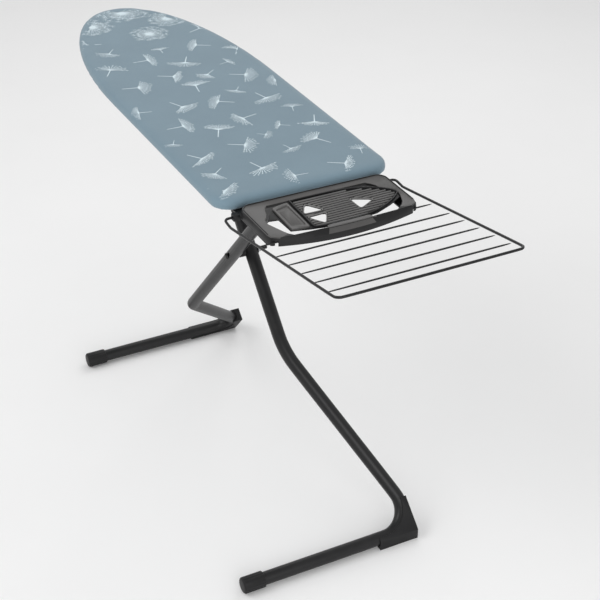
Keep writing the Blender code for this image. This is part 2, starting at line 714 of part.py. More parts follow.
def make_eye(letter, side, leg_y, parent):
    """Flat fitting that fills the end of the tube and holds the top pin."""
    top = LEG_LOWER + LEG_UPPER
    centre = leg_point(side, top, leg_y)
    down = (leg_point(side, 0, leg_y) - centre).normalized()
    across = Vector((0, 1, 0)).cross(down)
    points = []
    for k in range(9):
        angle = math.pi * k / 8
        points.append(centre - across * EYE_RADIUS * math.cos(angle) - down * EYE_RADIUS * math.sin(angle))
    length = TUBE_SETBACK + EYE_DEPTH
    points += [centre + down * length + across * EYE_RADIUS, centre + down * length - across * EYE_RADIUS]
    shift = Vector((0, -EYE_THICKNESS / 2, 0))
    bm = extrude_outline([point + shift for point in points], Vector((0, EYE_THICKNESS, 0)))
    body = add(f"leg_{letter}_eye", bm, MATERIALS["plastic"], parent, smooth=False)
    hole = cylinder_y(centre.x, PIN_Z, leg_y - EYE_THICKNESS, leg_y + EYE_THICKNESS, PIN_DIAMETER / 2 + PIN_CLEARANCE)
    cut(body, cutter(f"tool_eye_{letter}_hole", hole, parent))


def make_cap(letter, side, parent):
    """Ribbed plastic cap pushed over the open end of the foot tube; a rib is at its lowest point."""
    foot = leg_point(side, 0.0, 0.0)
    bore = TUBE_RADIUS + GAP
    outer_y = -FOOT_HALF
    inner_y = outer_y + CAP_LENGTH
    unit_x, unit_z = Vector((1, 0, 0)), Vector((0, 0, 1))
    count = CAP_RIBS * 2

    def ribbed(y, shrink=0.0):
        loop = []
        for i in range(count):
            angle = -math.pi / 2 + 2 * math.pi * i / count
            radius = CAP_DIAMETER / 2 - shrink - (CAP_RIB_HEIGHT if i % 2 else 0.0)
            loop.append(Vector((foot.x, y, foot.z)) + radius * (math.cos(angle) * unit_x + math.sin(angle) * unit_z))
        return loop

    def plain(y, radius):
        return circle(Vector((foot.x, y, foot.z)), unit_x, unit_z, radius, count, -math.pi / 2)

    loops = [plain(outer_y, 0.013), ribbed(outer_y + 0.001, 0.0025), ribbed(outer_y + 0.004), ribbed(inner_y - 0.001),
             ribbed(inner_y, 0.0008), plain(inner_y, bore), plain(outer_y + CAP_END, bore)]
    add(f"foot_{letter}_cap", ring_loft(loops), MATERIALS["plastic"], parent)


def make_shoe(letter, side, path, heel_radius, inner_y, parent):
    """Wedge outside the bend at the floor: flat below, hollowed to take the tube."""
    across = Vector((0, 1, 0)).cross(leg_point(side, 1, 0) - leg_point(side, 0, 0)).normalized()
    outline_points = [(inner_y, -0.050), (FOOT_HALF, -0.050), (FOOT_HALF, 0.0), (FOOT_HALF - 0.003, SHOE_RISE)]
    arc = [point for point in path[8:-1]]
    inner = []
    for point in arc:
        height = (point.z - FOOT_Z) / math.sin(SLOPE)
        if height < SHOE_RISE - 0.004 and point.y > inner_y:
            inner.append((point.y - 0.002, height + 0.002))
    inner.append((inner_y, 0.002))
    outline_points.append((inner[0][0], SHOE_RISE - 0.001))
    outline_points += inner
    half = across * (SHOE_THICKNESS / 2)
    points = [leg_point(side, along, y) - half for y, along in outline_points]
    bm = extrude_outline(points, half * 2)
    prow = (leg_point(side, 0.0, 0.0).x - side * SHOE_PROW, 0, 0)
    for place, normal in (((0, 0, 0), (0, 0, -1)), (prow, (-side, 0, 0))):
        bmesh.ops.bisect_plane(bm, geom=bm.verts[:] + bm.edges[:] + bm.faces[:], plane_co=place, plane_no=normal,
                               clear_outer=True)
        bmesh.ops.holes_fill(bm, edges=bm.edges[:])
    shoe = add(f"foot_{letter}_shoe", bm, MATERIALS["plastic"], parent, smooth=False)
    cut(shoe, cutter(f"tool_shoe_{letter}", wire(path, TUBE_RADIUS + GAP, TUBE_SIDES), parent))


def make_pivot(parent):
    """Bolt through both legs, with a spacer between them. It turns with leg B."""
    low_side = LEG_B_Y - TUBE_RADIUS
    high_side = LEG_A_Y + TUBE_RADIUS
    low = low_side - GAP
    high = high_side + PIVOT_STUB
    unit_x, unit_z = Vector((1, 0, 0)), Vector((0, 0, 1))
    radius = PIVOT_DIAMETER / 2
    head = PIVOT_HEAD_DIAMETER / 2
    loops = []
    for y, size in ((low - PIVOT_HEAD_HEIGHT, head * 0.5), (low - PIVOT_HEAD_HEIGHT * 0.5, head * 0.9), (low, head),
                    (low, radius), (high - 0.001, radius), (high, radius * 0.8)):
        loops.append(circle(Vector((PIVOT_X, y, PIVOT_Z)), unit_x, unit_z, size, 16, math.pi / 16))
    add("pivot_bolt", ring_loft(loops), MATERIALS["black_steel"], parent)
    bore = radius + GAP
    spacer = cylinder_y(PIVOT_X, PIVOT_Z, LEG_B_Y + TUBE_RADIUS + GAP, LEG_A_Y - TUBE_RADIUS - GAP,
                        SPACER_DIAMETER / 2, 20, bore)
    add("pivot_spacer", spacer, MATERIALS["plastic"], parent)
    washer_low = high_side + GAP
    washer = cylinder_y(PIVOT_X, PIVOT_Z, washer_low, washer_low + WASHER_HEIGHT, WASHER_DIAMETER / 2, 20, bore)
    add("pivot_washer", washer, MATERIALS["zinc"], parent)
    nut_low = washer_low + WASHER_HEIGHT + GAP
    nut = cylinder_y(PIVOT_X, PIVOT_Z, nut_low, nut_low + NUT_HEIGHT, NUT_DIAMETER / 2, 6, 0.0)
    body = add("pivot_nut", nut, MATERIALS["zinc"], parent, smooth=False)
    hole = cylinder_y(PIVOT_X, PIVOT_Z, nut_low - 0.01, nut_low + NUT_HEIGHT + 0.01, bore)
    cut(body, cutter("tool_nut", hole, parent))


# ---------------------------------------------------------------- iron rest
def star_loop(corners, centre, z, grow=0.0, count=72):
    """Sample a polygon at equal angles round a centre; grow moves it outwards along each ray."""
    centre = Vector(centre)
    corners = [Vector(corner) for corner in corners]
    loop = []
    for i in range(count):
        angle = 2 * math.pi * i / count
        ray = Vector((math.cos(angle), math.sin(angle)))
        best = None
        for k, one in enumerate(corners):
            two = corners[(k + 1) % len(corners)]
            edge = two - one
            cross = ray.x * edge.y - ray.y * edge.x
            if abs(cross) < 1e-12:
                continue
            offset = one - centre
            distance = (offset.x * edge.y - offset.y * edge.x) / cross
            share = (offset.x * ray.y - offset.y * ray.x) / cross
            if distance > 0 and -1e-9 <= share <= 1 + 1e-9 and (best is None or distance < best):
                best = distance
        point = centre + ray * (best + grow)
        loop.append(Vector((point.x, point.y, z)))
    return loop


def rest_outer(bow, grow=0.0):
    """Plan of the iron rest: straight back, rounded corners, bowed front."""
    half = REST_HALF_WIDTH + grow
    back = REST_BACK - grow
    front = REST_FRONT + grow
    points = []
    corners = ((back, -half, 180), (front, -half, 270), (front, half, 0), (back, half, 90))
    for index, (x, y, start) in enumerate(corners):
        centre_x = x + (REST_CORNER if x == back else -REST_CORNER)
        centre_y = y - math.copysign(REST_CORNER, y)
        for k in range(5):
            angle = math.radians(start + 90 * k / 4)
            points.append((centre_x + REST_CORNER * math.cos(angle), centre_y + REST_CORNER * math.sin(angle)))
        if index == 1:
            reach = half - REST_CORNER
            for k in range(1, 12):
                y = -reach + 2 * reach * k / 12
                points.append((front + bow * (1 - (y / reach) ** 2), y))
    return points


def rest_opening():
    """The hole in the rest's frame: notched at both ends for the plate that hangs in it."""
    back = REST_BACK + 0.021
    front = REST_FRONT - 0.004
    half = REST_HALF_WIDTH
    return [(back, -half + 0.055), (back, half - 0.055), (back + 0.016, half - 0.042), (back + 0.038, half - 0.036),
            (back + 0.058, half - 0.010), (back + 0.085, half - 0.016), (back + 0.115, half - 0.028), (front, half - 0.052),
            (front + 0.004, 0.0), (front, -half + 0.050), (back + 0.115, -half + 0.040), (back + 0.064, -half + 0.022),
            (back + 0.038, -half + 0.040), (back + 0.014, -half + 0.046)]


REST_CENTRE = ((REST_BACK + REST_FRONT) / 2 + 0.008, 0.0)


def make_rest_frame(parent):
    """Moulded frame: a skirt all round and a flat flange on top, open below."""
    outer_low = rest_outer(REST_BOW)
    outer_high = rest_outer(REST_BOW * 0.5)
    hole = rest_opening()
    top, bottom, wall = REST_TOP, REST_BOTTOM, REST_WALL
    under = TOP_Z - PLATE_TOP_DROP + GAP

    def dipped(loop):
        half = REST_HALF_WIDTH - REST_CORNER
        for point in loop:
            if point.x > REST_FRONT - REST_CORNER and abs(point.y) < half:
                point.z -= REST_DIP * (1 - (point.y / half) ** 2)
        return loop

    loops = [
        dipped(star_loop(outer_low, REST_CENTRE, bottom)),
        star_loop(outer_low, REST_CENTRE, bottom + 0.010),
        star_loop(outer_high, REST_CENTRE, top - 0.002, -0.001),
        star_loop(outer_high, REST_CENTRE, top, -0.003),
        star_loop(outer_high, REST_CENTRE, top - 0.0015, -0.0065),
        star_loop(hole, REST_CENTRE, top - 0.0025, 0.001),
        star_loop(hole, REST_CENTRE, top - 0.0035),
        star_loop(hole, REST_CENTRE, under),
        star_loop(outer_high, REST_CENTRE, under, -wall - 0.002),
        star_loop(outer_low, REST_CENTRE, under - 0.004, -wall),
        dipped(star_loop(outer_low, REST_CENTRE, bottom, -wall)),
    ]
    frame = add("iron_rest_frame", ring_loft(loops, cyclic=True), MATERIALS["grey_plastic"], parent)
    bar = rack_point(RACK_FIRST_BAR, 0.0, rack_bar_drop())
    half = RACK_BAR_WIRE / 2 + NOTCH_CLEARANCE
    notches = []
    for side in (-1, 1):
        low_y, high_y = sorted((side * (REST_HALF_WIDTH - 2 * REST_CORNER), side * (REST_HALF_WIDTH + 0.01)))
        notches.append(box((bar.x - half, low_y, bottom - 0.01), (bar.x + half, high_y, bar.z + half)))
    cut(frame, cutter("tool_rack_notches", join(*notches), parent))


def plate_outline():
    """Iron-shaped plate with the heel pad's seat and an arm to the frame."""
    back, front, half = REST_BACK, REST_FRONT, REST_HALF_WIDTH
    return [(back + 0.100, half - 0.006), (back + 0.040, half - 0.006), (back + 0.024, half - 0.019),
            (back + 0.0235, half - 0.089), (back + 0.0235, 0.0), (back + 0.0235, -half + 0.109),
            (back + 0.033, -half + 0.067), (back + 0.046, -half + 0.055), (back + 0.058, -half + 0.045),
            (back + 0.078, -half + 0.033), (back + 0.082, -half + 0.055), (back + 0.136, -half + 0.057),
            (front - 0.016, -half + 0.099), (front - 0.011, -half + 0.127), (front - 0.008, 0.013),
            (front - 0.016, half - 0.095), (front - 0.035, half - 0.053)]


def rounded_triangle(points, inset):
    """Cut each corner of a triangle twice, so that it reads as round."""
    result = []
    for i, point in enumerate(points):
        before, after = Vector(points[i - 1]), Vector(points[(i + 1) % 3])
        here = Vector(point)
        one = here + (before - here).normalized() * inset
        two = here + (after - here).normalized() * inset
        result += [tuple(one), tuple((one + two) / 4 + here / 2), tuple(two)]
    return result


def plate_holes():
    back = REST_BACK
    left, right = -REST_HALF_WIDTH, REST_HALF_WIDTH
    corners = (((0.046, left + 0.135), (0.085, left + 0.113), (0.086, left + 0.161)),
               ((0.100, left + 0.113), (0.098, left + 0.159), (0.140, left + 0.137)),
               ((0.066, right - 0.119), (0.090, right - 0.073), (0.116, right - 0.117)))
    return [rounded_triangle([(back + x, y) for x, y in triangle], 0.010) for triangle in corners]


def make_plate(parent):
    top = TOP_Z - PLATE_TOP_DROP
    bm = prism_with_holes(plate_outline(), plate_holes(), top - PLATE_THICKNESS, top)
    plate = add("iron_plate", bm, MATERIALS["plastic"], parent, smooth=False)
    depth = 0.0013
    left = -REST_HALF_WIDTH
    corners = [(REST_BACK + 0.034, left + 0.069), (REST_BACK + 0.032, left + 0.097),
               (REST_FRONT - 0.030, left + 0.093), (REST_FRONT - 0.034, left + 0.063)]
    pocket = prism_with_holes(corners, [], top - depth, top + 0.01)
    cut(plate, cutter("tool_heel_pocket", pocket, parent))
    centre = Vector((sum(c[0] for c in corners) / 4, sum(c[1] for c in corners) / 4))
    shrunk = []
    for corner in corners:
        inward = (centre - Vector(corner)).normalized()
        shrunk.append(tuple(Vector(corner) + inward * 0.001))
    pad = prism_with_holes(shrunk, [], top - depth + GAP, top - GAP)
    add("heel_pad", pad, MATERIALS["grey_plastic"], parent, smooth=False)


def make_arms(parent):
    """Cranked flat steel arms from the first cross bar to the iron rest."""
    low_level = ARM_TOP
    high_level = FITTING_TOP
    start = PIN_B_X - CROSS_BAR_WIDTH / 2
    upper = [(start, high_level), (start + 0.030, high_level), (start + 0.052, low_level), (ARM_LENGTH, low_level)]
    lower = [(x, z - ARM_THICKNESS) for x, z in upper]
    lower[1] = (upper[1][0] - 0.0015, lower[1][1])
    lower[2] = (upper[2][0] - 0.0015, lower[2][1])
    profile = upper + list(reversed(lower))
    for side, name in ((-1, "left"), (1, "right")):
        y = side * ARM_Y - ARM_WIDTH / 2
        points = [Vector((px, y, pz)) for px, pz in profile]
        add(f"rest_arm_{name}", extrude_outline(points, Vector((0, ARM_WIDTH, 0))), MATERIALS["black_steel"], parent,
            smooth=False)
        for number, x in enumerate((REST_BACK + 0.025, ARM_LENGTH - 0.025), start=1):
            head_top = ARM_TOP - ARM_THICKNESS - GAP
            unit_x, unit_y = Vector((1, 0, 0)), Vector((0, 1, 0))
            loops = []
            for z, radius in ((head_top - 0.0022, SCREW_HEAD * 0.3), (head_top - 0.0015, SCREW_HEAD * 0.45),
                              (head_top, SCREW_HEAD / 2)):
                loops.append(circle(Vector((x, side * ARM_Y, z)), unit_x, unit_y, radius, 12))
            add(f"rest_screw_{name}_{number}", ring_loft(loops), MATERIALS["zinc"], parent)


# ---------------------------------------------------------------- linen rack
def rack_point(distance, y, lift=0.0):
    """A point on the rack's sloping plane, at a distance out from the hinge."""
    tilt = math.radians(RACK_TILT)
    start_x = RACK_HINGE_X + RACK_KNEE
    start_z = RACK_HINGE_Z - RACK_KNEE_DROP
    out = distance - RACK_KNEE
    return Vector((start_x + out * math.cos(tilt) - lift * math.sin(tilt), y,
                   start_z + out * math.sin(tilt) + lift * math.cos(tilt)))


def rack_bar_drop():
    """Bars lie under the side wires."""
    return -(RACK_WIRE + RACK_BAR_WIRE) / 2 - GAP


def rack_bar_distance(number):
    """How far out from the hinge a bar lies; the first is number 0."""
    if number == 0:
        return RACK_FIRST_BAR
    return RACK_SECOND_BAR + (number - 1) * RACK_BAR_STEP


def make_rack(parent):
    half = RACK_HALF_WIDTH
    hinge = [Vector((RACK_HINGE_X, side * RACK_END_Y, RACK_HINGE_Z)) for side in (-1, 1)]
    side_corner = [Vector((RACK_HINGE_X, side * half, RACK_HINGE_Z)) for side in (-1, 1)]
    corners = [hinge[0], side_corner[0], rack_point(RACK_KNEE, -half), rack_point(RACK_LENGTH, -half),
               rack_point(RACK_LENGTH, half), rack_point(RACK_KNEE, half), side_corner[1], hinge[1]]
    path = fillet(corners, (0.010, 0.030, 0.016, 0.016, 0.030, 0.010), (4, 3, 5, 5, 3, 4))
    add("rack_frame", wire(path, RACK_WIRE / 2), MATERIALS["black_wire"], parent)
    for number in range(RACK_BARS):
        distance = rack_bar_distance(number)
        reach = half + 0.004
        ends = [rack_point(distance, side * reach, rack_bar_drop()) for side in (-1, 1)]
        add(f"rack_bar_{number + 1}", wire(ends, RACK_BAR_WIRE / 2), MATERIALS["black_wire"], parent)


def make_hinge_blocks(parent):
    """Blocks on the outer sides of the arms, in which the ends of the rack's wire turn."""
    half = HINGE_BLOCK_WIDTH / 2
    top = RACK_HINGE_Z + half
    bottom = RACK_HINGE_Z - half
    for side, name in ((-1, "left"), (1, "right")):
        inner = ARM_Y + ARM_WIDTH / 2 + GAP
        low_y, high_y = sorted((side * inner, side * (inner + HINGE_BLOCK_LENGTH)))
        low = (RACK_HINGE_X - half, low_y, bottom)
        high = (RACK_HINGE_X + half, high_y, top)
        block = add(f"rack_hinge_block_{name}", box(low, high), MATERIALS["plastic"], parent, smooth=False)
        bore = cylinder_y(RACK_HINGE_X, RACK_HINGE_Z, low_y - 0.01, high_y + 0.01, RACK_WIRE / 2 + PIN_CLEARANCE)
        cut(block, cutter(f"tool_hinge_block_{name}", bore, parent))


# ---------------------------------------------------------------- assembly
clear_scene()
MATERIALS = {
    "cover": material("cover", (0.205, 0.290, 0.350), 0.85),
    "steel": material("steel", (0.52, 0.53, 0.54), 0.40, 0.9),
    "black_steel": material("black_steel", (0.018, 0.018, 0.019), 0.38, 0.2),
    "black_wire": material("black_wire", (0.016, 0.016, 0.017), 0.35, 0.2),
    "zinc": material("zinc", (0.45, 0.46, 0.47), 0.35, 0.9),
    "plastic": material("plastic", (0.022, 0.022, 0.023), 0.50),
    "grey_plastic": material("grey_plastic", (0.085, 0.087, 0.090), 0.45),
}

origin = empty("origin", (0, 0, 0))
board = empty("board", (0, 0, 0), origin)
make_cover(board)
make_sheet(board)
make_rim(board)
make_cross_bars(board)
make_guide_rail(board)
make_hinge_bracket(board)
make_bar_clips(board)
make_lever_spring(board)
make_rest_frame(board)
make_plate(board)
make_arms(board)
make_hinge_blocks(board)
make_top_pin("hinge_pin", PIN_B_X, LEG_B_Y, board)

release_axis = empty("release_axis", (LEVER_X, RELEASE_Y, RELEASE_Z), board)
make_release_bar(release_axis)
make_lever(release_axis)

leg_b_axis = empty("leg_b_axis", (PIN_B_X, LEG_B_Y, PIN_Z), board)
make_leg("b", leg_b_axis)
make_pivot(leg_b_axis)

leg_a_axis = empty("leg_a_axis", (PIVOT_X, LEG_A_Y, PIVOT_Z), leg_b_axis)
make_leg("a", leg_a_axis)

carriage_axis = empty("carriage_axis", (PIN_A_X, LEG_A_Y, PIN_Z), leg_a_axis)
make_carriage(carriage_axis)
make_top_pin("carriage_pin", PIN_A_X, LEG_A_Y, carriage_axis)
make_latch_lug(carriage_axis)

rack_axis = empty("rack_axis", (RACK_HINGE_X, 0, RACK_HINGE_Z), board)
make_rack(rack_axis)

origin.location = (-CENTRE_X, 0, 0)
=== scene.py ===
"""Looks of the ironing board: padded printed cover, iron rest, wires, tubes and plastic feet."""

import json
import math
import random

import bmesh
import bpy
from mathutils import Matrix, Vector
from mathutils.bvhtree import BVHTree

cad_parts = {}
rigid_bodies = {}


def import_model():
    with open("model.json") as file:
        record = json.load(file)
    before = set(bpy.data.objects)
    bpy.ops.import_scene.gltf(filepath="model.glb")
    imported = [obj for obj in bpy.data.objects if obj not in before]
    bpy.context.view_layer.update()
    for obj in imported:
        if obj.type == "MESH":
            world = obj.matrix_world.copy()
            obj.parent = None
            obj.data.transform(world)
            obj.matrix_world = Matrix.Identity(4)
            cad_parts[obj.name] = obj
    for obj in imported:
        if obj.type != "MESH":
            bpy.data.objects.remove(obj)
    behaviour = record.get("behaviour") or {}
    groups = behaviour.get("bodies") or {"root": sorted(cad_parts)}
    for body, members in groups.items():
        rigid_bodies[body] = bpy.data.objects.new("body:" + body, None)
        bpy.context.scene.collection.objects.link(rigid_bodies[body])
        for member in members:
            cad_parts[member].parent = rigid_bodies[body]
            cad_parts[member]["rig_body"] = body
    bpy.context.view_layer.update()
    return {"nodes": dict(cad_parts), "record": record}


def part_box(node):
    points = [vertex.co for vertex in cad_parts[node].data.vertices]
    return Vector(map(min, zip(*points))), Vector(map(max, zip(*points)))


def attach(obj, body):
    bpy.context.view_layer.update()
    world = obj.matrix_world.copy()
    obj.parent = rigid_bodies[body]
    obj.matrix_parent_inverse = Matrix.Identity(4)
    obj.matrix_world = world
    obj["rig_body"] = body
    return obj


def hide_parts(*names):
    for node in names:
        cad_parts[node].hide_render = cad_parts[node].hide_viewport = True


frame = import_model()
NODES = frame["nodes"]

# ---------------------------------------------------------------- places taken from the frame, metres
COVER_LOW, COVER_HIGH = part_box("cover_pad")
END_X = COVER_HIGH.x                # square end of the board
NOSE_X = COVER_LOW.x
TOP = COVER_HIGH.z
REST_LOW, REST_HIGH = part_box("iron_rest_frame")
PLATE_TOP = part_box("iron_plate")[1].z

# camera, as in the photograph
CAMERA_AZIMUTH = 63.05
CAMERA_ELEVATION = 31.67
CAMERA_LENS = 87.35
CAMERA_PLACE = Vector((END_X + 2.4901, -1.2862, 2.4140))


# ---------------------------------------------------------------- node materials
def new_material(name):
    mat = bpy.data.materials.new(name)
    mat.use_nodes = True
    tree = mat.node_tree
    return mat, tree, tree.nodes["Principled BSDF"]


def link(tree, out, target):
    tree.links.new(out, target)


def coordinates(tree):
    """Object coordinates, in metres."""
    return tree.nodes.new("ShaderNodeTexCoord").outputs["Object"]


def noise(tree, vector, scale, detail=3.0, roughness=0.55):
    node = tree.nodes.new("ShaderNodeTexNoise")
    node.inputs["Scale"].default_value = scale
    node.inputs["Detail"].default_value = detail
    node.inputs["Roughness"].default_value = roughness
    link(tree, vector, node.inputs["Vector"])
    return node.outputs["Fac"]


def ramp(tree, factor, low, high, low_at=0.3, high_at=0.7):
    node = tree.nodes.new("ShaderNodeValToRGB")
    node.color_ramp.elements[0].position = low_at
    node.color_ramp.elements[1].position = high_at
    node.color_ramp.elements[0].color = (*low, 1.0)
    node.color_ramp.elements[1].color = (*high, 1.0)
    link(tree, factor, node.inputs["Fac"])
    return node.outputs["Color"]


def span(tree, factor, low, high):
    node = tree.nodes.new("ShaderNodeMapRange")
    node.inputs["To Min"].default_value = low
    node.inputs["To Max"].default_value = high
    link(tree, factor, node.inputs["Value"])
    return node.outputs["Result"]


def bump(tree, shader, height, strength, distance, before=None):
    node = tree.nodes.new("ShaderNodeBump")
    node.inputs["Strength"].default_value = strength
    node.inputs["Distance"].default_value = distance
    link(tree, height, node.inputs["Height"])
    if before is not None:
        link(tree, before, node.inputs["Normal"])
    link(tree, node.outputs["Normal"], shader.inputs["Normal"])
    return node.outputs["Normal"]


def threads(tree, vector, direction, pitch):
    """Rounded threads side by side, one every pitch."""
    node = tree.nodes.new("ShaderNodeTexWave")
    node.bands_direction = direction
    node.inputs["Scale"].default_value = math.pi / pitch / 10.0
    node.inputs["Distortion"].default_value = 0.6
    node.inputs["Detail"].default_value = 1.0
    node.inputs["Detail Scale"].default_value = 1.5
    link(tree, vector, node.inputs["Vector"])
    return node.outputs["Fac"]


def fabric(name, dark, light, pitch=0.0008, sheen=0.25):
    """Plain-woven cotton: two sets of threads, slight colour variation and a faint overall unevenness."""
    mat, tree, shader = new_material(name)
    vector = coordinates(tree)
    blotch = noise(tree, vector, 9.0, 4.0)
    color = ramp(tree, blotch, dark, light)
    warp = threads(tree, vector, "X", pitch)
    weft = threads(tree, vector, "Y", pitch)
    weave = tree.nodes.new("ShaderNodeMath")
    weave.operation = "MULTIPLY"
    link(tree, warp, weave.inputs[0])
    link(tree, weft, weave.inputs[1])
    shade = tree.nodes.new("ShaderNodeMix")
    shade.data_type = "RGBA"
    shade.blend_type = "MULTIPLY"
    shade.inputs["Factor"].default_value = 0.16
    link(tree, color, shade.inputs["A"])
    tint = ramp(tree, weave.outputs["Value"], (0.72, 0.72, 0.72), (1.0, 1.0, 1.0), 0.0, 0.8)
    link(tree, tint, shade.inputs["B"])
    link(tree, shade.outputs["Result"], shader.inputs["Base Color"])
    link(tree, span(tree, blotch, 0.78, 0.90), shader.inputs["Roughness"])
    shader.inputs["Sheen Weight"].default_value = sheen
    shader.inputs["Sheen Roughness"].default_value = 0.45
    coarse = bump(tree, shader, noise(tree, vector, 38.0, 2.0), 0.25, 0.0012)
    bump(tree, shader, weave.outputs["Value"], 0.35, 0.0002, coarse)
    return mat


def ink(name, color, edge):
    """Pale print, a little uneven where it sank into the weave."""
    mat, tree, shader = new_material(name)
    vector = coordinates(tree)
    patchy = noise(tree, vector, 260.0, 3.0)
    link(tree, ramp(tree, patchy, edge, color), shader.inputs["Base Color"])
    link(tree, span(tree, patchy, 0.75, 0.9), shader.inputs["Roughness"])
    bump(tree, shader, patchy, 0.15, 0.0001)
    return mat


def powder_coat(name, color, roughness, grain=900.0):
    """Satin powder coat with fine orange peel and faint handling marks."""
    mat, tree, shader = new_material(name)
    vector = coordinates(tree)
    marks = noise(tree, vector, 22.0, 6.0, 0.7)
    lighter = tuple(c * 1.5 + 0.002 for c in color)
    link(tree, ramp(tree, marks, color, lighter), shader.inputs["Base Color"])
    link(tree, span(tree, marks, roughness - 0.05, roughness + 0.09), shader.inputs["Roughness"])
    shader.inputs["Specular IOR Level"].default_value = 0.32
    shader.inputs["Coat Weight"].default_value = 0.06
    shader.inputs["Coat Roughness"].default_value = 0.22
    bump(tree, shader, noise(tree, vector, grain, 2.0), 0.10, 0.00015)
    return mat


def moulded(name, color, roughness, grain=1400.0, strength=0.22):
    """Spark-eroded moulding texture, slightly lighter where it is rubbed."""
    mat, tree, shader = new_material(name)
    vector = coordinates(tree)
    rubbed = noise(tree, vector, 14.0, 5.0, 0.65)
    lighter = tuple(c * 1.28 + 0.003 for c in color)
    link(tree, ramp(tree, rubbed, color, lighter), shader.inputs["Base Color"])
    link(tree, span(tree, rubbed, roughness - 0.04, roughness + 0.08), shader.inputs["Roughness"])
    shader.inputs["Specular IOR Level"].default_value = 0.28
    bump(tree, shader, noise(tree, vector, grain, 3.0, 0.6), strength, 0.00012)
    return mat


def plated(name, color, roughness):
    """Zinc plating or galvanised sheet, with soft spangles."""
    mat, tree, shader = new_material(name)
    vector = coordinates(tree)
    cells = tree.nodes.new("ShaderNodeTexVoronoi")
    cells.inputs["Scale"].default_value = 95.0
    link(tree, vector, cells.inputs["Vector"])
    fine = noise(tree, vector, 60.0, 5.0)
    darker = tuple(c * 0.78 for c in color)
    link(tree, ramp(tree, cells.outputs["Distance"], color, darker, 0.0, 0.9), shader.inputs["Base Color"])
    link(tree, span(tree, fine, roughness - 0.06, roughness + 0.1), shader.inputs["Roughness"])
    shader.inputs["Metallic"].default_value = 1.0
    bump(tree, shader, fine, 0.06, 0.0002)
    return mat


COVER_CLOTH = fabric("cover_cloth", (0.178, 0.265, 0.325), (0.196, 0.288, 0.350))
# the turned-under hem is a much darker blue than the top: painted shade, standing in for the shadow under the
# cover's edge
HEM_CLOTH_PAINTED_SHADE = fabric("hem_cloth_painted_shade", (0.060, 0.085, 0.105), (0.075, 0.100, 0.122), 0.0011, 0.1)
PRINT = ink("print_ink", (0.78, 0.89, 0.94), (0.66, 0.78, 0.84))
BLACK_TUBE = powder_coat("black_powder_coat", (0.0075, 0.0075, 0.008), 0.36)
BLACK_WIRE = powder_coat("black_wire_coat", (0.0065, 0.0065, 0.007), 0.34, 1300.0)
BLACK_PLASTIC = moulded("black_plastic", (0.009, 0.009, 0.0095), 0.48)
GLOSSY_BLACK = moulded("black_rim_plastic", (0.008, 0.008, 0.0085), 0.34, 1500.0, 0.10)
# ribs and hole rims are a lighter grey than the black plate: painted highlight, standing in for light on
# their rounded tops
RIB_PLASTIC_PAINTED_HIGHLIGHT = moulded("rib_plastic_painted_highlight", (0.150, 0.148, 0.146), 0.34)
GREY_PLASTIC = moulded("grey_plastic", (0.074, 0.072, 0.071), 0.38)
GALVANISED = plated("galvanised_sheet", (0.46, 0.47, 0.48), 0.44)
ZINC = plated("zinc_plated", (0.50, 0.51, 0.52), 0.34)

SLOT_LOOKS = {"steel": GALVANISED, "black_steel": BLACK_TUBE, "black_wire": BLACK_WIRE, "zinc": ZINC,
              "plastic": BLACK_PLASTIC, "grey_plastic": GREY_PLASTIC, "cover": COVER_CLOTH}
NODE_SLOT = {entry["node"]: entry["material_slot"] for entry in frame["record"]["subparts"]}
BODY_OF = {name: obj["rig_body"] for name, obj in NODES.items()}


# ---------------------------------------------------------------- mesh helpers
UP = Vector((0, 0, 1))


def new_object(name, bm, materials, smooth_angle=40.0):
    bmesh.ops.recalc_face_normals(bm, faces=bm.faces)
    mesh = bpy.data.meshes.new(name)
    bm.to_mesh(mesh)
    bm.free()
    for mat in materials:
        mesh.materials.append(mat)
    mesh.shade_smooth()
    mesh.set_sharp_from_angle(angle=math.radians(smooth_angle))
    obj = bpy.data.objects.new(name, mesh)
    bpy.context.scene.collection.objects.link(obj)
    return obj


def apply_modifiers(obj):
    """Replace the mesh by what its modifiers make of it."""
    bpy.context.view_layer.update()
    graph = bpy.context.evaluated_depsgraph_get()
    mesh = bpy.data.meshes.new_from_object(obj.evaluated_get(graph))
    obj.modifiers.clear()
    obj.data = mesh


def place(obj, body, slot_name, *replaced):
    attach(obj, body)
    if replaced:
        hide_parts(*replaced)
    return obj


def refine(node, bevel=0.0, segments=2, levels=0, mat=None):
    """A finer copy of a CAD node: quads again, with soft edges or subdivided.

    Subdividing draws in the ends and the thickness of a piece that has few rings along it.
    """
    source = NODES[node]
    bm = bmesh.new()
    bm.from_mesh(source.data)
    bmesh.ops.remove_doubles(bm, verts=bm.verts, dist=2e-6)
    bmesh.ops.join_triangles(bm, faces=bm.faces, cmp_seam=False, cmp_sharp=False, cmp_uvs=False,
                             cmp_vcols=False, cmp_materials=False, angle_face_threshold=math.radians(8.0),
                             angle_shape_threshold=math.radians(60.0))
    slot_name = NODE_SLOT[node]
    obj = new_object(f"{node}_fine", bm, [mat or SLOT_LOOKS[slot_name]])
    if bevel:
        modifier = obj.modifiers.new("soft_edges", "BEVEL")
        modifier.width = bevel
        modifier.segments = segments
        modifier.limit_method = "ANGLE"
        modifier.angle_limit = math.radians(38.0)
        modifier.use_clamp_overlap = True
    if levels:
        modifier = obj.modifiers.new("round", "SUBSURF")
        modifier.levels = levels
        modifier.render_levels = levels
    apply_modifiers(obj)
    obj.data.shade_smooth()
    obj.data.set_sharp_from_angle(angle=math.radians(45.0))
    return place(obj, BODY_OF[node], slot_name, node)


def skin(bm, rings, closed=False):
    """Faces between neighbouring rings of points; the ends are capped unless the row of rings is closed."""
    pairs = list(zip(rings, rings[1:]))
    if closed:
        pairs.append((rings[-1], rings[0]))
    size = len(rings[0])
    for one, two in pairs:
        for k in range(size):
            m = (k + 1) % size
            bm.faces.new((one[k], one[m], two[m], two[k]))
    if not closed:
        bm.faces.new(rings[0])
        bm.faces.new(list(reversed(rings[-1])))


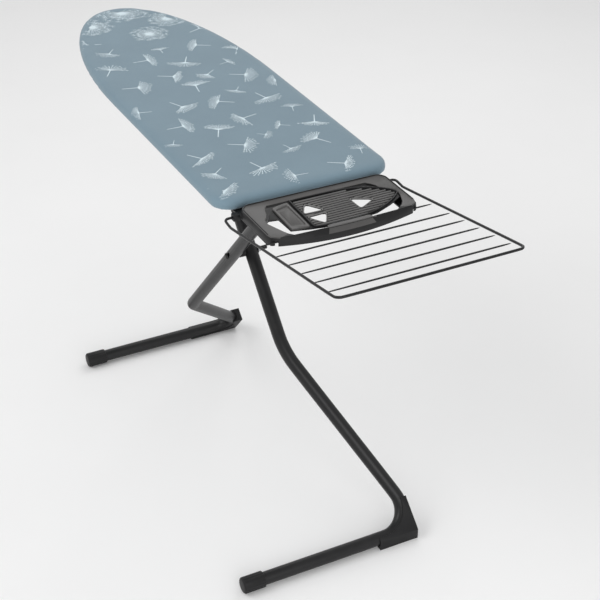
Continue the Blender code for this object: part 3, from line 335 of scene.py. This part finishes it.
def sweep(path, profile, closed=False):
    """Sweep a closed profile of (sideways, upwards) points along a path that stays roughly level."""
    bm = bmesh.new()
    count = len(path)
    rings = []
    for i, point in enumerate(path):
        before = path[(i - 1) % count] if closed or i else path[0]
        after = path[(i + 1) % count] if closed or i < count - 1 else path[-1]
        tangent = (after - before).normalized()
        side = UP.cross(tangent).normalized()
        rings.append([bm.verts.new(point + side * a + UP * b) for a, b in profile])
    skin(bm, rings, closed)
    return bm


def smooth_loop(points, steps=6):
    """Closed Catmull-Rom curve through points that are given on an outline."""
    points = [Vector(point) for point in points]
    count = len(points)
    result = []
    for i in range(count):
        a, b, c, d = (points[(i + k) % count] for k in (-1, 0, 1, 2))
        for s in range(steps):
            t = s / steps
            result.append(0.5 * ((2 * b) + (c - a) * t + (2 * a - 5 * b + 4 * c - d) * t * t
                                 + (3 * b - a - 3 * c + d) * t ** 3))
    return result


# ---------------------------------------------------------------- padded cover
def cover_outline():
    """The CAD cover's widest ring, in order round the board."""
    level = TOP - 0.007
    verts = [v.co for v in NODES["cover_pad"].data.vertices if abs(v.co.z - level) < 2e-4]
    middle = (NOSE_X + END_X) / 2
    unique = {(round(v.x, 5), round(v.y, 5)) for v in verts}
    return [Vector(p) for p in sorted(unique, key=lambda p: math.atan2(p[1], p[0] - middle))]


def inset(points, distance):
    count = len(points)
    moved = []
    for i in range(count):
        one = (points[i] - points[i - 1]).normalized()
        two = (points[(i + 1) % count] - points[i]).normalized()
        along = (one + two).normalized()
        moved.append(points[i] + Vector((-along.y, along.x)) * distance)
    return moved


OUTLINE = cover_outline()


def nearest_on_outline(point):
    """Distance travelled round the outline, and the inward direction, at the nearest place to a point."""
    best = None
    travelled = 0.0
    for i, one in enumerate(OUTLINE):
        two = OUTLINE[(i + 1) % len(OUTLINE)]
        edge = two - one
        share = max(0.0, min(1.0, (point - one).dot(edge) / edge.length_squared))
        foot = one + edge * share
        gap = (point - foot).length
        if best is None or gap < best[0]:
            inward = Vector((-edge.y, edge.x)).normalized()
            best = (gap, travelled + edge.length * share, inward)
        travelled += edge.length
    return best[1], best[2]


# the cover's rounded edge: inwards from the outline, down from the top
EDGE_STEPS = ((0.0140, 0.0020), (0.0085, 0.0026), (0.0048, 0.0044), (0.0024, 0.0078), (0.0012, 0.0125),
              (0.0010, 0.0200), (0.0030, 0.0250))
PLUMP = 0.0012                  # how far the whole skin moves outwards after smoothing


def pad_block():
    """The padded top as one closed block, a little smaller than its final size."""
    bm = bmesh.new()
    rings = []
    for distance, drop in EDGE_STEPS:
        rings.append([bm.verts.new((p.x, p.y, TOP - drop)) for p in inset(OUTLINE, distance)])
    skin(bm, rings)
    return new_object("cover_top", bm, [COVER_CLOTH, HEM_CLOTH_PAINTED_SHADE])


def voxel_remesh(obj, size):
    modifier = obj.modifiers.new("remesh", "REMESH")
    modifier.mode = "VOXEL"
    modifier.voxel_size = size
    apply_modifiers(obj)


def swell(obj, cap, frames=20):
    """Let the cloth take up the pad's pressure, moving no point further than the cap."""
    rest = [v.co.copy() for v in obj.data.vertices]
    cloth = obj.modifiers.new("cloth", "CLOTH")
    cloth.settings.use_pressure = True
    cloth.settings.uniform_pressure_force = 4.0
    cloth.settings.quality = 4
    cloth.settings.effector_weights.gravity = 0.0
    cloth.point_cache.frame_start = 1
    cloth.point_cache.frame_end = frames
    scene = bpy.context.scene
    for number in range(1, frames + 1):
        scene.frame_set(number)
    apply_modifiers(obj)
    scene.frame_set(1)
    for vertex, start in zip(obj.data.vertices, rest):
        move = vertex.co - start
        if move.length > cap:
            vertex.co = start + move.normalized() * cap


def relax(obj, factor, repeat):
    modifier = obj.modifiers.new("relax", "SMOOTH")
    modifier.factor = factor
    modifier.iterations = repeat
    apply_modifiers(obj)


def plump(obj):
    """Make up for what remeshing and smoothing took off."""
    modifier = obj.modifiers.new("plump", "DISPLACE")
    modifier.strength = PLUMP
    modifier.mid_level = 0.0
    apply_modifiers(obj)


HEM_START_DROP = 0.0205
# inwards from where the cut left the cloth, down from the top, share of the gathering
HEM_STEPS = ((0.0030, 0.0245, 0.0), (0.0080, 0.0262, 0.25), (0.0150, 0.0262, 0.7), (0.0230, 0.0255, 1.0))
PUCKER_PITCH = 0.0115
PUCKER_HEIGHT = 0.0011
CLOTH_THICKNESS = 0.0010


def add_hem(obj):
    """Cut the block open below and turn the cloth under the edge, gathered by its elastic."""
    bm = bmesh.new()
    bm.from_mesh(obj.data)
    bmesh.ops.bisect_plane(bm, geom=bm.verts[:] + bm.edges[:] + bm.faces[:], dist=1e-5,
                           plane_co=(0, 0, TOP - HEM_START_DROP), plane_no=(0, 0, -1), clear_outer=True)
    edges = [edge for edge in bm.edges if edge.is_boundary]
    frames = {}
    for distance, drop, gathered in HEM_STEPS:
        made = bmesh.ops.extrude_edge_only(bm, edges=edges)["geom"]
        old = {}
        for edge in edges:
            for vert in edge.verts:
                old[tuple(vert.co)] = frames.get(vert)
        edges = [item for item in made if isinstance(item, bmesh.types.BMEdge)]
        for vert in {v for edge in edges for v in edge.verts}:
            known = old.get(tuple(vert.co))
            if known is None:
                travelled, inward = nearest_on_outline(vert.co.xy)
                known = (vert.co.xy.copy(), travelled, inward)
            start, travelled, inward = known
            frames[vert] = known
            wave = math.sin(2 * math.pi * travelled / PUCKER_PITCH + 0.9 * math.sin(travelled * 23.0))
            place_xy = start + inward * distance
            vert.co = (place_xy.x, place_xy.y, TOP - drop + wave * gathered * PUCKER_HEIGHT)
        edges = [edge for edge in edges if edge.is_boundary]
    # faces turned under the edge take the dark hem cloth, which is painted shade under the cover's edge
    under = TOP - HEM_STEPS[0][1] + 0.0004
    for face in bm.faces:
        if face.calc_center_median().z < under:
            face.material_index = 1
    mesh = bpy.data.meshes.new("cover_top")
    bmesh.ops.recalc_face_normals(bm, faces=bm.faces)
    if sum(face.normal.z for face in bm.faces) < 0:
        bmesh.ops.reverse_faces(bm, faces=bm.faces)
    bm.to_mesh(mesh)
    bm.free()
    for mat in (COVER_CLOTH, HEM_CLOTH_PAINTED_SHADE):
        mesh.materials.append(mat)
    obj.data = mesh


def make_cover():
    cover = pad_block()
    voxel_remesh(cover, 0.005)
    swell(cover, 0.0022)
    relax(cover, 0.5, 3)
    plump(cover)
    add_hem(cover)
    solidify = cover.modifiers.new("thickness", "SOLIDIFY")
    solidify.thickness = CLOTH_THICKNESS
    solidify.offset = -1.0
    apply_modifiers(cover)
    cover.data.shade_smooth()
    cover.data.set_sharp_from_angle(angle=math.radians(60.0))
    place(cover, "board", "cover", "cover_pad")
    return cover


def make_sheet():
    """The galvanised sheet, with its edge kept inside the cloth."""
    low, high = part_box("top_sheet")
    bm = bmesh.new()
    rings = []
    for distance, z in ((0.0085, low.z), (0.0080, (low.z + high.z) / 2), (0.0085, high.z)):
        rings.append([bm.verts.new((p.x, p.y, z)) for p in inset(OUTLINE, distance)])
    skin(bm, rings)
    place(new_object("top_sheet_fine", bm, [GALVANISED]), "board", "steel", "top_sheet")


# ---------------------------------------------------------------- printed seed pattern
PRINT_LIFT = 0.00012            # lowest layer of the print, above the cloth
LAYER_LIFT = 0.000004           # strokes are laid in turn on thin layers this far apart
LAYERS = 40                     # so that strokes which cross don't lie in one plane
SEED_STROKES = 13


def heading(angle):
    return Vector((math.cos(angle), math.sin(angle)))


def stroke(flat, start, end, width_start, width_end):
    """One tapered brush stroke as four points in the plane."""
    along = end - start
    if along.length < 1e-6:
        return
    side = Vector((-along.y, along.x)).normalized()
    flat.append((start + side * width_start / 2, start - side * width_start / 2,
                 end - side * width_end / 2, end + side * width_end / 2))


def seed_motif(flat, place_xy, angle, size, rng):
    """A drifting seed: a thin stem, and a brush of separate barbed hairs that spreads from its crown."""
    direction = heading(angle)
    across = Vector((-direction.y, direction.x))
    crown = place_xy + direction * size * 0.50
    stroke(flat, place_xy, crown, size * 0.022, size * 0.036)
    spread = math.radians(rng.uniform(48, 86))
    depth = rng.uniform(0.55, 0.95)
    for k in range(SEED_STROKES):
        share = k / (SEED_STROKES - 1) * 2 - 1
        swing = spread * share
        reach = size * rng.uniform(0.44, 0.58)
        tip = crown + across * math.sin(swing) * reach * 1.1 + direction * math.cos(swing) * reach * depth
        bend = crown + (tip - crown) * 0.5 + direction * size * 0.015
        stroke(flat, crown, bend, size * 0.018, size * 0.017)
        stroke(flat, bend, tip, size * 0.021, size * 0.011)
        for barb_share in (0.62, 0.86):
            root = crown + (tip - crown) * barb_share
            for turn in (-0.6, 0.6):
                barb = (Matrix.Rotation(turn, 2) @ (tip - crown)).normalized() * size * 0.06
                stroke(flat, root, root + barb, size * 0.012, size * 0.006)


def head_motif(flat, place_xy, radius, rng):
    """A whole seed head: bright middle, straight spokes of mixed length, each with a small tuft."""
    count = 64
    for k in range(count):
        angle = 2 * math.pi * (k + rng.uniform(-0.3, 0.3)) / count
        reach = radius * (1 - 0.55 * rng.random() ** 1.4) * 0.84
        direction = heading(angle)
        knot = place_xy + direction * reach
        stroke(flat, place_xy + direction * radius * 0.05, knot, radius * 0.018, radius * 0.009)
        for m in range(5):
            turn = math.radians(-80 + 40 * m)
            hair = (Matrix.Rotation(turn, 2) @ direction) * radius * 0.15
            stroke(flat, knot, knot + hair, radius * 0.012, radius * 0.006)
    for k in range(18):
        angle = 2 * math.pi * k / 18
        direction = heading(angle)
        stroke(flat, place_xy, place_xy + direction * radius * 0.12, radius * 0.04, radius * 0.02)


SEED_SIZES = (0.076, 0.060, 0.048, 0.040)
SEED_TRIES = 600
SEED_GAP = 0.014                # clear space between neighbouring seeds
# seed heads: along the board from the nose, across it, radius
HEADS = ((0.055, 0.010, 0.078), (0.150, 0.105, 0.062), (0.120, -0.100, 0.066), (0.235, 0.020, 0.058))


def make_print(cover):
    """Strokes laid just above the cloth, one thin layer that follows it."""
    rng = random.Random(11)
    flat = []
    length = END_X - NOSE_X
    for along, across, radius in HEADS:
        head_motif(flat, Vector((NOSE_X + along, across)), radius, rng)
    taken = [(Vector((NOSE_X + a, b)), r + 0.004) for a, b, r in HEADS]
    for number in range(SEED_TRIES):
        size = SEED_SIZES[min(3, number * 4 // SEED_TRIES)]
        middle = Vector((NOSE_X + rng.uniform(0.20, length - 0.035), rng.uniform(-0.19, 0.19)))
        angle = rng.uniform(-math.pi, math.pi)
        if any((middle - other).length < reach + size * 0.5 + SEED_GAP for other, reach in taken):
            continue
        taken.append((middle, size * 0.5))
        direction = heading(angle)
        seed_motif(flat, middle - direction * size * 0.42, angle, size, rng)
    tree = BVHTree.FromObject(cover, bpy.context.evaluated_depsgraph_get())
    bm = bmesh.new()
    for number, quad in enumerate(flat):
        lift = PRINT_LIFT + LAYER_LIFT * (number % LAYERS)
        hits = []
        for corner in quad:
            hit, normal, _, _ = tree.ray_cast(Vector((corner.x, corner.y, TOP + 0.05)), Vector((0, 0, -1)))
            if hit is None or hit.z < TOP - 0.0055 or normal.z < 0.8:
                break
            hits.append(hit + normal * lift)
        if len(hits) == 4:
            bm.faces.new([bm.verts.new(point) for point in hits])
    for face in bm.faces:
        if face.normal.z < 0:
            face.normal_flip()
    mesh = bpy.data.meshes.new("cover_print")
    bm.to_mesh(mesh)
    bm.free()
    mesh.materials.append(PRINT)
    obj = bpy.data.objects.new("cover_print", mesh)
    bpy.context.scene.collection.objects.link(obj)
    return place(obj, "board", "cover")


# ---------------------------------------------------------------- iron rest
REST_BACK = REST_LOW.x
REST_HALF = REST_HIGH.y
RIB_PITCH = 0.0092
RIB_WIDTH = 0.0036
RIB_HEIGHT = 0.0030
RIB_TO_RIM = 0.0050             # clear of the raised iron outline
RIB_TO_HOLE = 0.0045            # clear of a hole's edge
RIB_SHORTEST = 0.004
RIB_END_LENGTH = 0.0015         # each rib's end slopes down over this length
RIB_END_SIZE = 0.35             # to this share of its height
IRON_RIM_HEIGHT = 0.0048
IRON_RIM_WIDTH = 0.0034
RIBBED_SPAN = (-0.066, 0.12)    # holes with a rim lie between these, across the board


def iron_outline():
    """The outline of an iron's sole, heel to the left, tip to the right."""
    b = REST_BACK
    return smooth_loop([(b + 0.0235, 0.030), (b + 0.0275, 0.072), (b + 0.040, 0.110), (b + 0.061, 0.1430),
                        (b + 0.084, 0.1610), (b + 0.099, 0.1520), (b + 0.118, 0.1280), (b + 0.136, 0.0950),
                        (b + 0.148, 0.0550), (b + 0.1525, 0.0100), (b + 0.1520, -0.0300),
                        (b + 0.1480, -0.0600), (b + 0.140, -0.0680), (b + 0.090, -0.0670),
                        (b + 0.030, -0.0650), (b + 0.0225, -0.0580), (b + 0.0225, -0.0100)])


def crossings(loop, x):
    """Where a closed loop crosses the line x = constant, sorted by y."""
    found = []
    for i, one in enumerate(loop):
        two = loop[(i + 1) % len(loop)]
        if (one.x - x) * (two.x - x) < 0:
            found.append(one.y + (two.y - one.y) * (x - one.x) / (two.x - one.x))
    return sorted(found)


def hole_loops():
    """The see-through holes of the iron plate: closed loops of edges on its top that aren't the outer one."""
    bm = bmesh.new()
    bm.from_mesh(NODES["iron_plate"].data)
    bmesh.ops.remove_doubles(bm, verts=bm.verts, dist=2e-6)
    edges = [e for e in bm.edges if all(abs(v.co.z - PLATE_TOP) < 1e-5 for v in e.verts)
             and any(abs(f.normal.z) < 0.5 for f in e.link_faces)]
    loops = []
    left = set(edges)
    while left:
        edge = left.pop()
        loop = [edge.verts[0], edge.verts[1]]
        while True:
            step = next((e for e in left if loop[-1] in e.verts), None)
            if step is None:
                break
            left.discard(step)
            loop.append(step.other_vert(loop[-1]))
        loops.append([v.co.xy.copy() for v in loop[:-1]])
    bm.free()

    def size(loop):
        return max(p.y for p in loop) - min(p.y for p in loop)

    loops.sort(key=size)
    low, high = RIBBED_SPAN
    return [loop for loop in loops[:-1] if max(p.y for p in loop) < high and min(p.y for p in loop) > low]


def grow(loop, distance):
    middle = sum(loop, Vector((0, 0))) / len(loop)
    return [p + (p - middle).normalized() * distance for p in loop]


def make_ribs(outline, holes):
    """Rounded ribs across the iron plate, interrupted by the holes."""
    inner = grow(outline, -RIB_TO_RIM)
    wide_holes = [grow(loop, RIB_TO_HOLE) for loop in holes]
    bm = bmesh.new()
    x = min(p.x for p in inner) + RIB_PITCH * 0.7
    limit = max(p.x for p in inner) - RIB_PITCH * 0.4
    half = RIB_WIDTH / 2
    profile = ((-half, 0.0), (-half * 0.75, RIB_HEIGHT * 0.7), (0.0, RIB_HEIGHT),
               (half * 0.75, RIB_HEIGHT * 0.7), (half, 0.0))
    base = PLATE_TOP + 0.00005
    while x < limit:
        ends = crossings(inner, x)
        if len(ends) >= 2:
            pieces = [(ends[0], ends[-1])]
            for loop in wide_holes:
                cuts = crossings(loop, x)
                if len(cuts) >= 2:
                    split = []
                    for low, high in pieces:
                        if cuts[-1] <= low or cuts[0] >= high:
                            split.append((low, high))
                            continue
                        split.append((low, cuts[0]))
                        split.append((cuts[-1], high))
                    pieces = split
            for low, high in pieces:
                if high - low < RIB_SHORTEST:
                    continue
                rings = []
                for y, size in ((low, RIB_END_SIZE), (low + RIB_END_LENGTH, 1.0),
                                (high - RIB_END_LENGTH, 1.0), (high, RIB_END_SIZE)):
                    rings.append([bm.verts.new((x + a * (0.6 + 0.4 * size), y, base + b * size))
                                  for a, b in profile])
                skin(bm, rings)
        x += RIB_PITCH
    # the ribs' grey is painted highlight on their rounded tops
    return place(new_object("iron_plate_ribs", bm, [RIB_PLASTIC_PAINTED_HIGHLIGHT], 55.0), "board", "plastic")


def rounded_bar(width, height, round_share=0.35):
    """Cross-section of a moulded rim: flat foot, rounded top."""
    half = width / 2
    inset_top = half * (1 - round_share)
    return [(-half, 0.0), (-half, height * 0.72), (-inset_top, height * 0.95), (0.0, height),
            (inset_top, height * 0.95), (half, height * 0.72), (half, 0.0)]


def at_height(loop, z):
    return [Vector((p.x, p.y, z)) for p in loop]


def make_iron_plate():
    refine("iron_plate", 0.0006, 2, mat=BLACK_PLASTIC)
    outline = iron_outline()
    holes = hole_loops()
    make_ribs(outline, holes)
    rim = sweep(at_height(outline, PLATE_TOP - 0.0004), rounded_bar(IRON_RIM_WIDTH, IRON_RIM_HEIGHT),
                closed=True)
    place(new_object("iron_plate_rim", rim, [GLOSSY_BLACK], 50.0), "board", "plastic")
    for number, loop in enumerate(holes, start=1):
        smooth = smooth_loop(grow(loop, 0.0012), 3)
        # the hole rims' grey is painted highlight on their rounded tops
        ring = sweep(at_height(smooth, PLATE_TOP - 0.0003), rounded_bar(0.0024, 0.0017), closed=True)
        place(new_object(f"iron_hole_rim_{number}", ring, [RIB_PLASTIC_PAINTED_HIGHLIGHT], 50.0), "board", "plastic")


def make_heel_pad():
    """Grey heel rest with a sunk panel."""
    b = REST_BACK
    corners = [Vector((b + 0.026, -0.0735)), Vector((b + 0.144, -0.0765)), Vector((b + 0.139, -0.1165)),
               Vector((b + 0.036, -0.1130))]
    middle = sum(corners, Vector((0, 0))) / 4

    def rounded(scale, radius):
        points = []
        for i, corner in enumerate(corners):
            here = middle + (corner - middle) * scale
            before = (middle + (corners[i - 1] - middle) * scale - here).normalized()
            after = (middle + (corners[(i + 1) % 4] - middle) * scale - here).normalized()
            for k in range(5):
                t = k / 4
                points.append(here + before * radius * (1 - t) ** 2 + after * radius * t ** 2)
        return points

    low = PLATE_TOP + 0.0001
    high = PLATE_TOP + 0.0040
    rings = []
    bm = bmesh.new()
    for scale, radius, z in ((1.0, 0.006, low), (1.0, 0.006, high - 0.0008), (0.98, 0.006, high),
                             (0.80, 0.005, high), (0.77, 0.005, high - 0.0012), (0.75, 0.005, high - 0.0026),
                             (0.60, 0.004, high - 0.0028), (0.56, 0.004, high - 0.0018)):
        rings.append([bm.verts.new((p.x, p.y, z)) for p in rounded(scale, radius)])
    skin(bm, rings)
    place(new_object("heel_pad_fine", bm, [GREY_PLASTIC], 35.0), "board", "grey_plastic", "heel_pad")


def make_rest_frame():
    """The CAD frame with soft edges; its skirt and the shoulders of its bowed front are black."""
    obj = refine("iron_rest_frame", 0.0009, 2)
    mesh = obj.data
    mesh.materials.append(BLACK_PLASTIC)
    front = REST_HIGH.x - 0.028
    for polygon in mesh.polygons:
        centre = polygon.center
        skirt = polygon.normal.z < 0.35
        shoulder = centre.x > front and abs(centre.y - 0.006) > 0.056 and abs(centre.y) < REST_HALF - 0.024
        if skirt or shoulder:
            polygon.material_index = 1
    return obj


LIP_INSET = 0.0035              # from the rest's sides and back
LIP_RADIUS = 0.022              # at the back corners
LIP_FRONT_GAP = 0.041           # from the lip's ends to the rest's front


def make_rest_lip():
    """Thin raised edge round the top of the rest, back and both sides."""
    back = REST_BACK + LIP_INSET
    half = REST_HALF - LIP_INSET
    front = REST_HIGH.x - LIP_FRONT_GAP
    path = [Vector((front, -half, 0))]
    for side in (-1, 1):
        for k in range(7):
            angle = math.radians(15 * k if side < 0 else 90 - 15 * k)
            path.append(Vector((back + LIP_RADIUS * (1 - math.sin(angle)),
                                side * (half - LIP_RADIUS * (1 - math.cos(angle))), 0)))
    path.append(Vector((front, half, 0)))
    for point in path:
        point.z = REST_HIGH.z - 0.0008
    rim = sweep(path, rounded_bar(0.0022, 0.0018))
    place(new_object("rest_lip", rim, [GLOSSY_BLACK], 50.0), "board", "grey_plastic")


def front_line(y, distance):
    """A point on the rest's bowed front edge, moved in by a distance."""
    reach = REST_HALF - 0.022
    bow = 0.008 * (1 - min(1.0, abs(y) / reach) ** 2)
    return Vector((REST_HIGH.x - 0.016 + bow - distance, y))


def make_front_rail():
    """Raised pad in the middle of the front rail, with slanting ends and black sides."""
    bm = bmesh.new()
    steps = 16
    low_y, high_y = -0.046, 0.060
    rings = []
    top = REST_HIGH.z - 0.0008
    for k in range(steps + 1):
        share = k / steps
        y_outer = low_y + (high_y - low_y) * share
        outer = front_line(y_outer, 0.0005)
        inner = front_line(y_outer, 0.0150)
        slant = 0.006 * (share - 0.5)
        edge = 0.0 if 0 < k < steps else 0.0012
        rings.append([bm.verts.new((outer.x, outer.y + slant, top - 0.0045)),
                      bm.verts.new((outer.x - 0.0006, outer.y + slant, top - edge)),
                      bm.verts.new((inner.x + 0.0006, inner.y - slant, top - edge)),
                      bm.verts.new((inner.x, inner.y - slant, top - 0.0060))])
    skin(bm, rings)
    pad = new_object("front_rail_pad", bm, [GREY_PLASTIC, BLACK_PLASTIC], 35.0)
    for polygon in pad.data.polygons:
        if polygon.normal.z < 0.6:
            polygon.material_index = 1
    place(pad, "board", "grey_plastic")


def make_iron_rest():
    make_rest_frame()
    make_iron_plate()
    make_heel_pad()
    make_rest_lip()
    make_front_rail()


# ---------------------------------------------------------------- everything else, from the CAD's own meshes
ROUND_NODES = ["leg_a_tube", "leg_b_tube", "rack_frame", "rim_tube"] + [f"rack_bar_{n}" for n in range(1, 7)]
SOFT_EDGES = {
    "foot_a_shoe": 0.0025, "foot_b_shoe": 0.0025, "foot_a_cap": 0.0004, "foot_b_cap": 0.0004,
    "leg_a_eye": 0.0010, "leg_b_eye": 0.0010, "lever_grip": 0.0022, "lever_arm": 0.0007,
    "hinge_bracket": 0.0006, "carriage": 0.0006, "latch_lug": 0.0007, "guide_rail": 0.0004,
    "rest_arm_left": 0.0007, "rest_arm_right": 0.0007, "release_bar": 0.0006,
    "rack_hinge_block_left": 0.0010, "rack_hinge_block_right": 0.0010,
    "cross_bar_1": 0.0010, "cross_bar_2": 0.0010, "cross_bar_3": 0.0010, "cross_bar_4": 0.0010,
    "bar_clip_1": 0.0006, "bar_clip_2": 0.0006, "bar_clip_3": 0.0006, "bar_clip_4": 0.0006,
    "pivot_nut": 0.0005,
}


def make_hard_parts():
    for node in ROUND_NODES:
        refine(node, levels=1)
    for node, width in SOFT_EDGES.items():
        refine(node, width)
    for name, obj in NODES.items():
        if obj.hide_render:
            continue
        look = SLOT_LOOKS[NODE_SLOT[name]]
        obj.data.materials.clear()
        obj.data.materials.append(look)


# ---------------------------------------------------------------- stage, light and camera
def make_stage():
    mat, tree, shader = new_material("pale_floor")
    vector = coordinates(tree)
    link(tree, ramp(tree, noise(tree, vector, 1.5), (0.93, 0.93, 0.93), (0.95, 0.95, 0.95)),
         shader.inputs["Base Color"])
    shader.inputs["Roughness"].default_value = 0.85
    bm = bmesh.new()
    bmesh.ops.create_grid(bm, x_segments=2, y_segments=2, size=30.0)
    bmesh.ops.translate(bm, verts=bm.verts, vec=(0, 0, -0.0002))
    floor = new_object("floor", bm, [mat])


def area_light(name, place_at, aim, size, power):
    light = bpy.data.lights.new(name, "AREA")
    light.shape = "RECTANGLE"
    light.size, light.size_y = size
    light.energy = power
    obj = bpy.data.objects.new(name, light)
    obj.location = place_at
    obj.rotation_euler = (Vector(aim) - Vector(place_at)).to_track_quat("-Z", "Y").to_euler()
    bpy.context.scene.collection.objects.link(obj)
    return obj


def make_light():
    world = bpy.data.worlds.new("studio")
    world.use_nodes = True
    world.node_tree.nodes["Background"].inputs["Color"].default_value = (1.0, 1.0, 1.0, 1.0)
    world.node_tree.nodes["Background"].inputs["Strength"].default_value = 0.66
    bpy.context.scene.world = world
    area_light("key", (-0.6, -2.6, 3.4), (0.0, 0.0, 0.7), (2.6, 1.6), 38)
    area_light("fill", (3.2, -0.6, 1.5), (0.1, 0.0, 0.8), (2.4, 2.0), 34)
    area_light("back", (-2.4, 1.8, 2.8), (-0.1, 0.0, 0.7), (2.4, 1.2), 18)


def make_camera():
    azimuth = math.radians(CAMERA_AZIMUTH)
    elevation = math.radians(CAMERA_ELEVATION)
    forward = Vector((-math.sin(azimuth) * math.cos(elevation), math.cos(azimuth) * math.cos(elevation),
                      -math.sin(elevation)))
    data = bpy.data.cameras.new("camera")
    data.lens = CAMERA_LENS
    data.sensor_width = 36.0
    data.clip_end = 60.0
    camera = bpy.data.objects.new("camera", data)
    camera.location = CAMERA_PLACE
    camera.rotation_euler = forward.to_track_quat("-Z", "Y").to_euler()
    bpy.context.scene.collection.objects.link(camera)
    bpy.context.scene.camera = camera


make_stage()
make_light()
make_camera()
cover = make_cover()
make_sheet()
make_print(cover)
make_iron_rest()
make_hard_parts()

bpy.context.scene.view_settings.view_transform = "Standard"
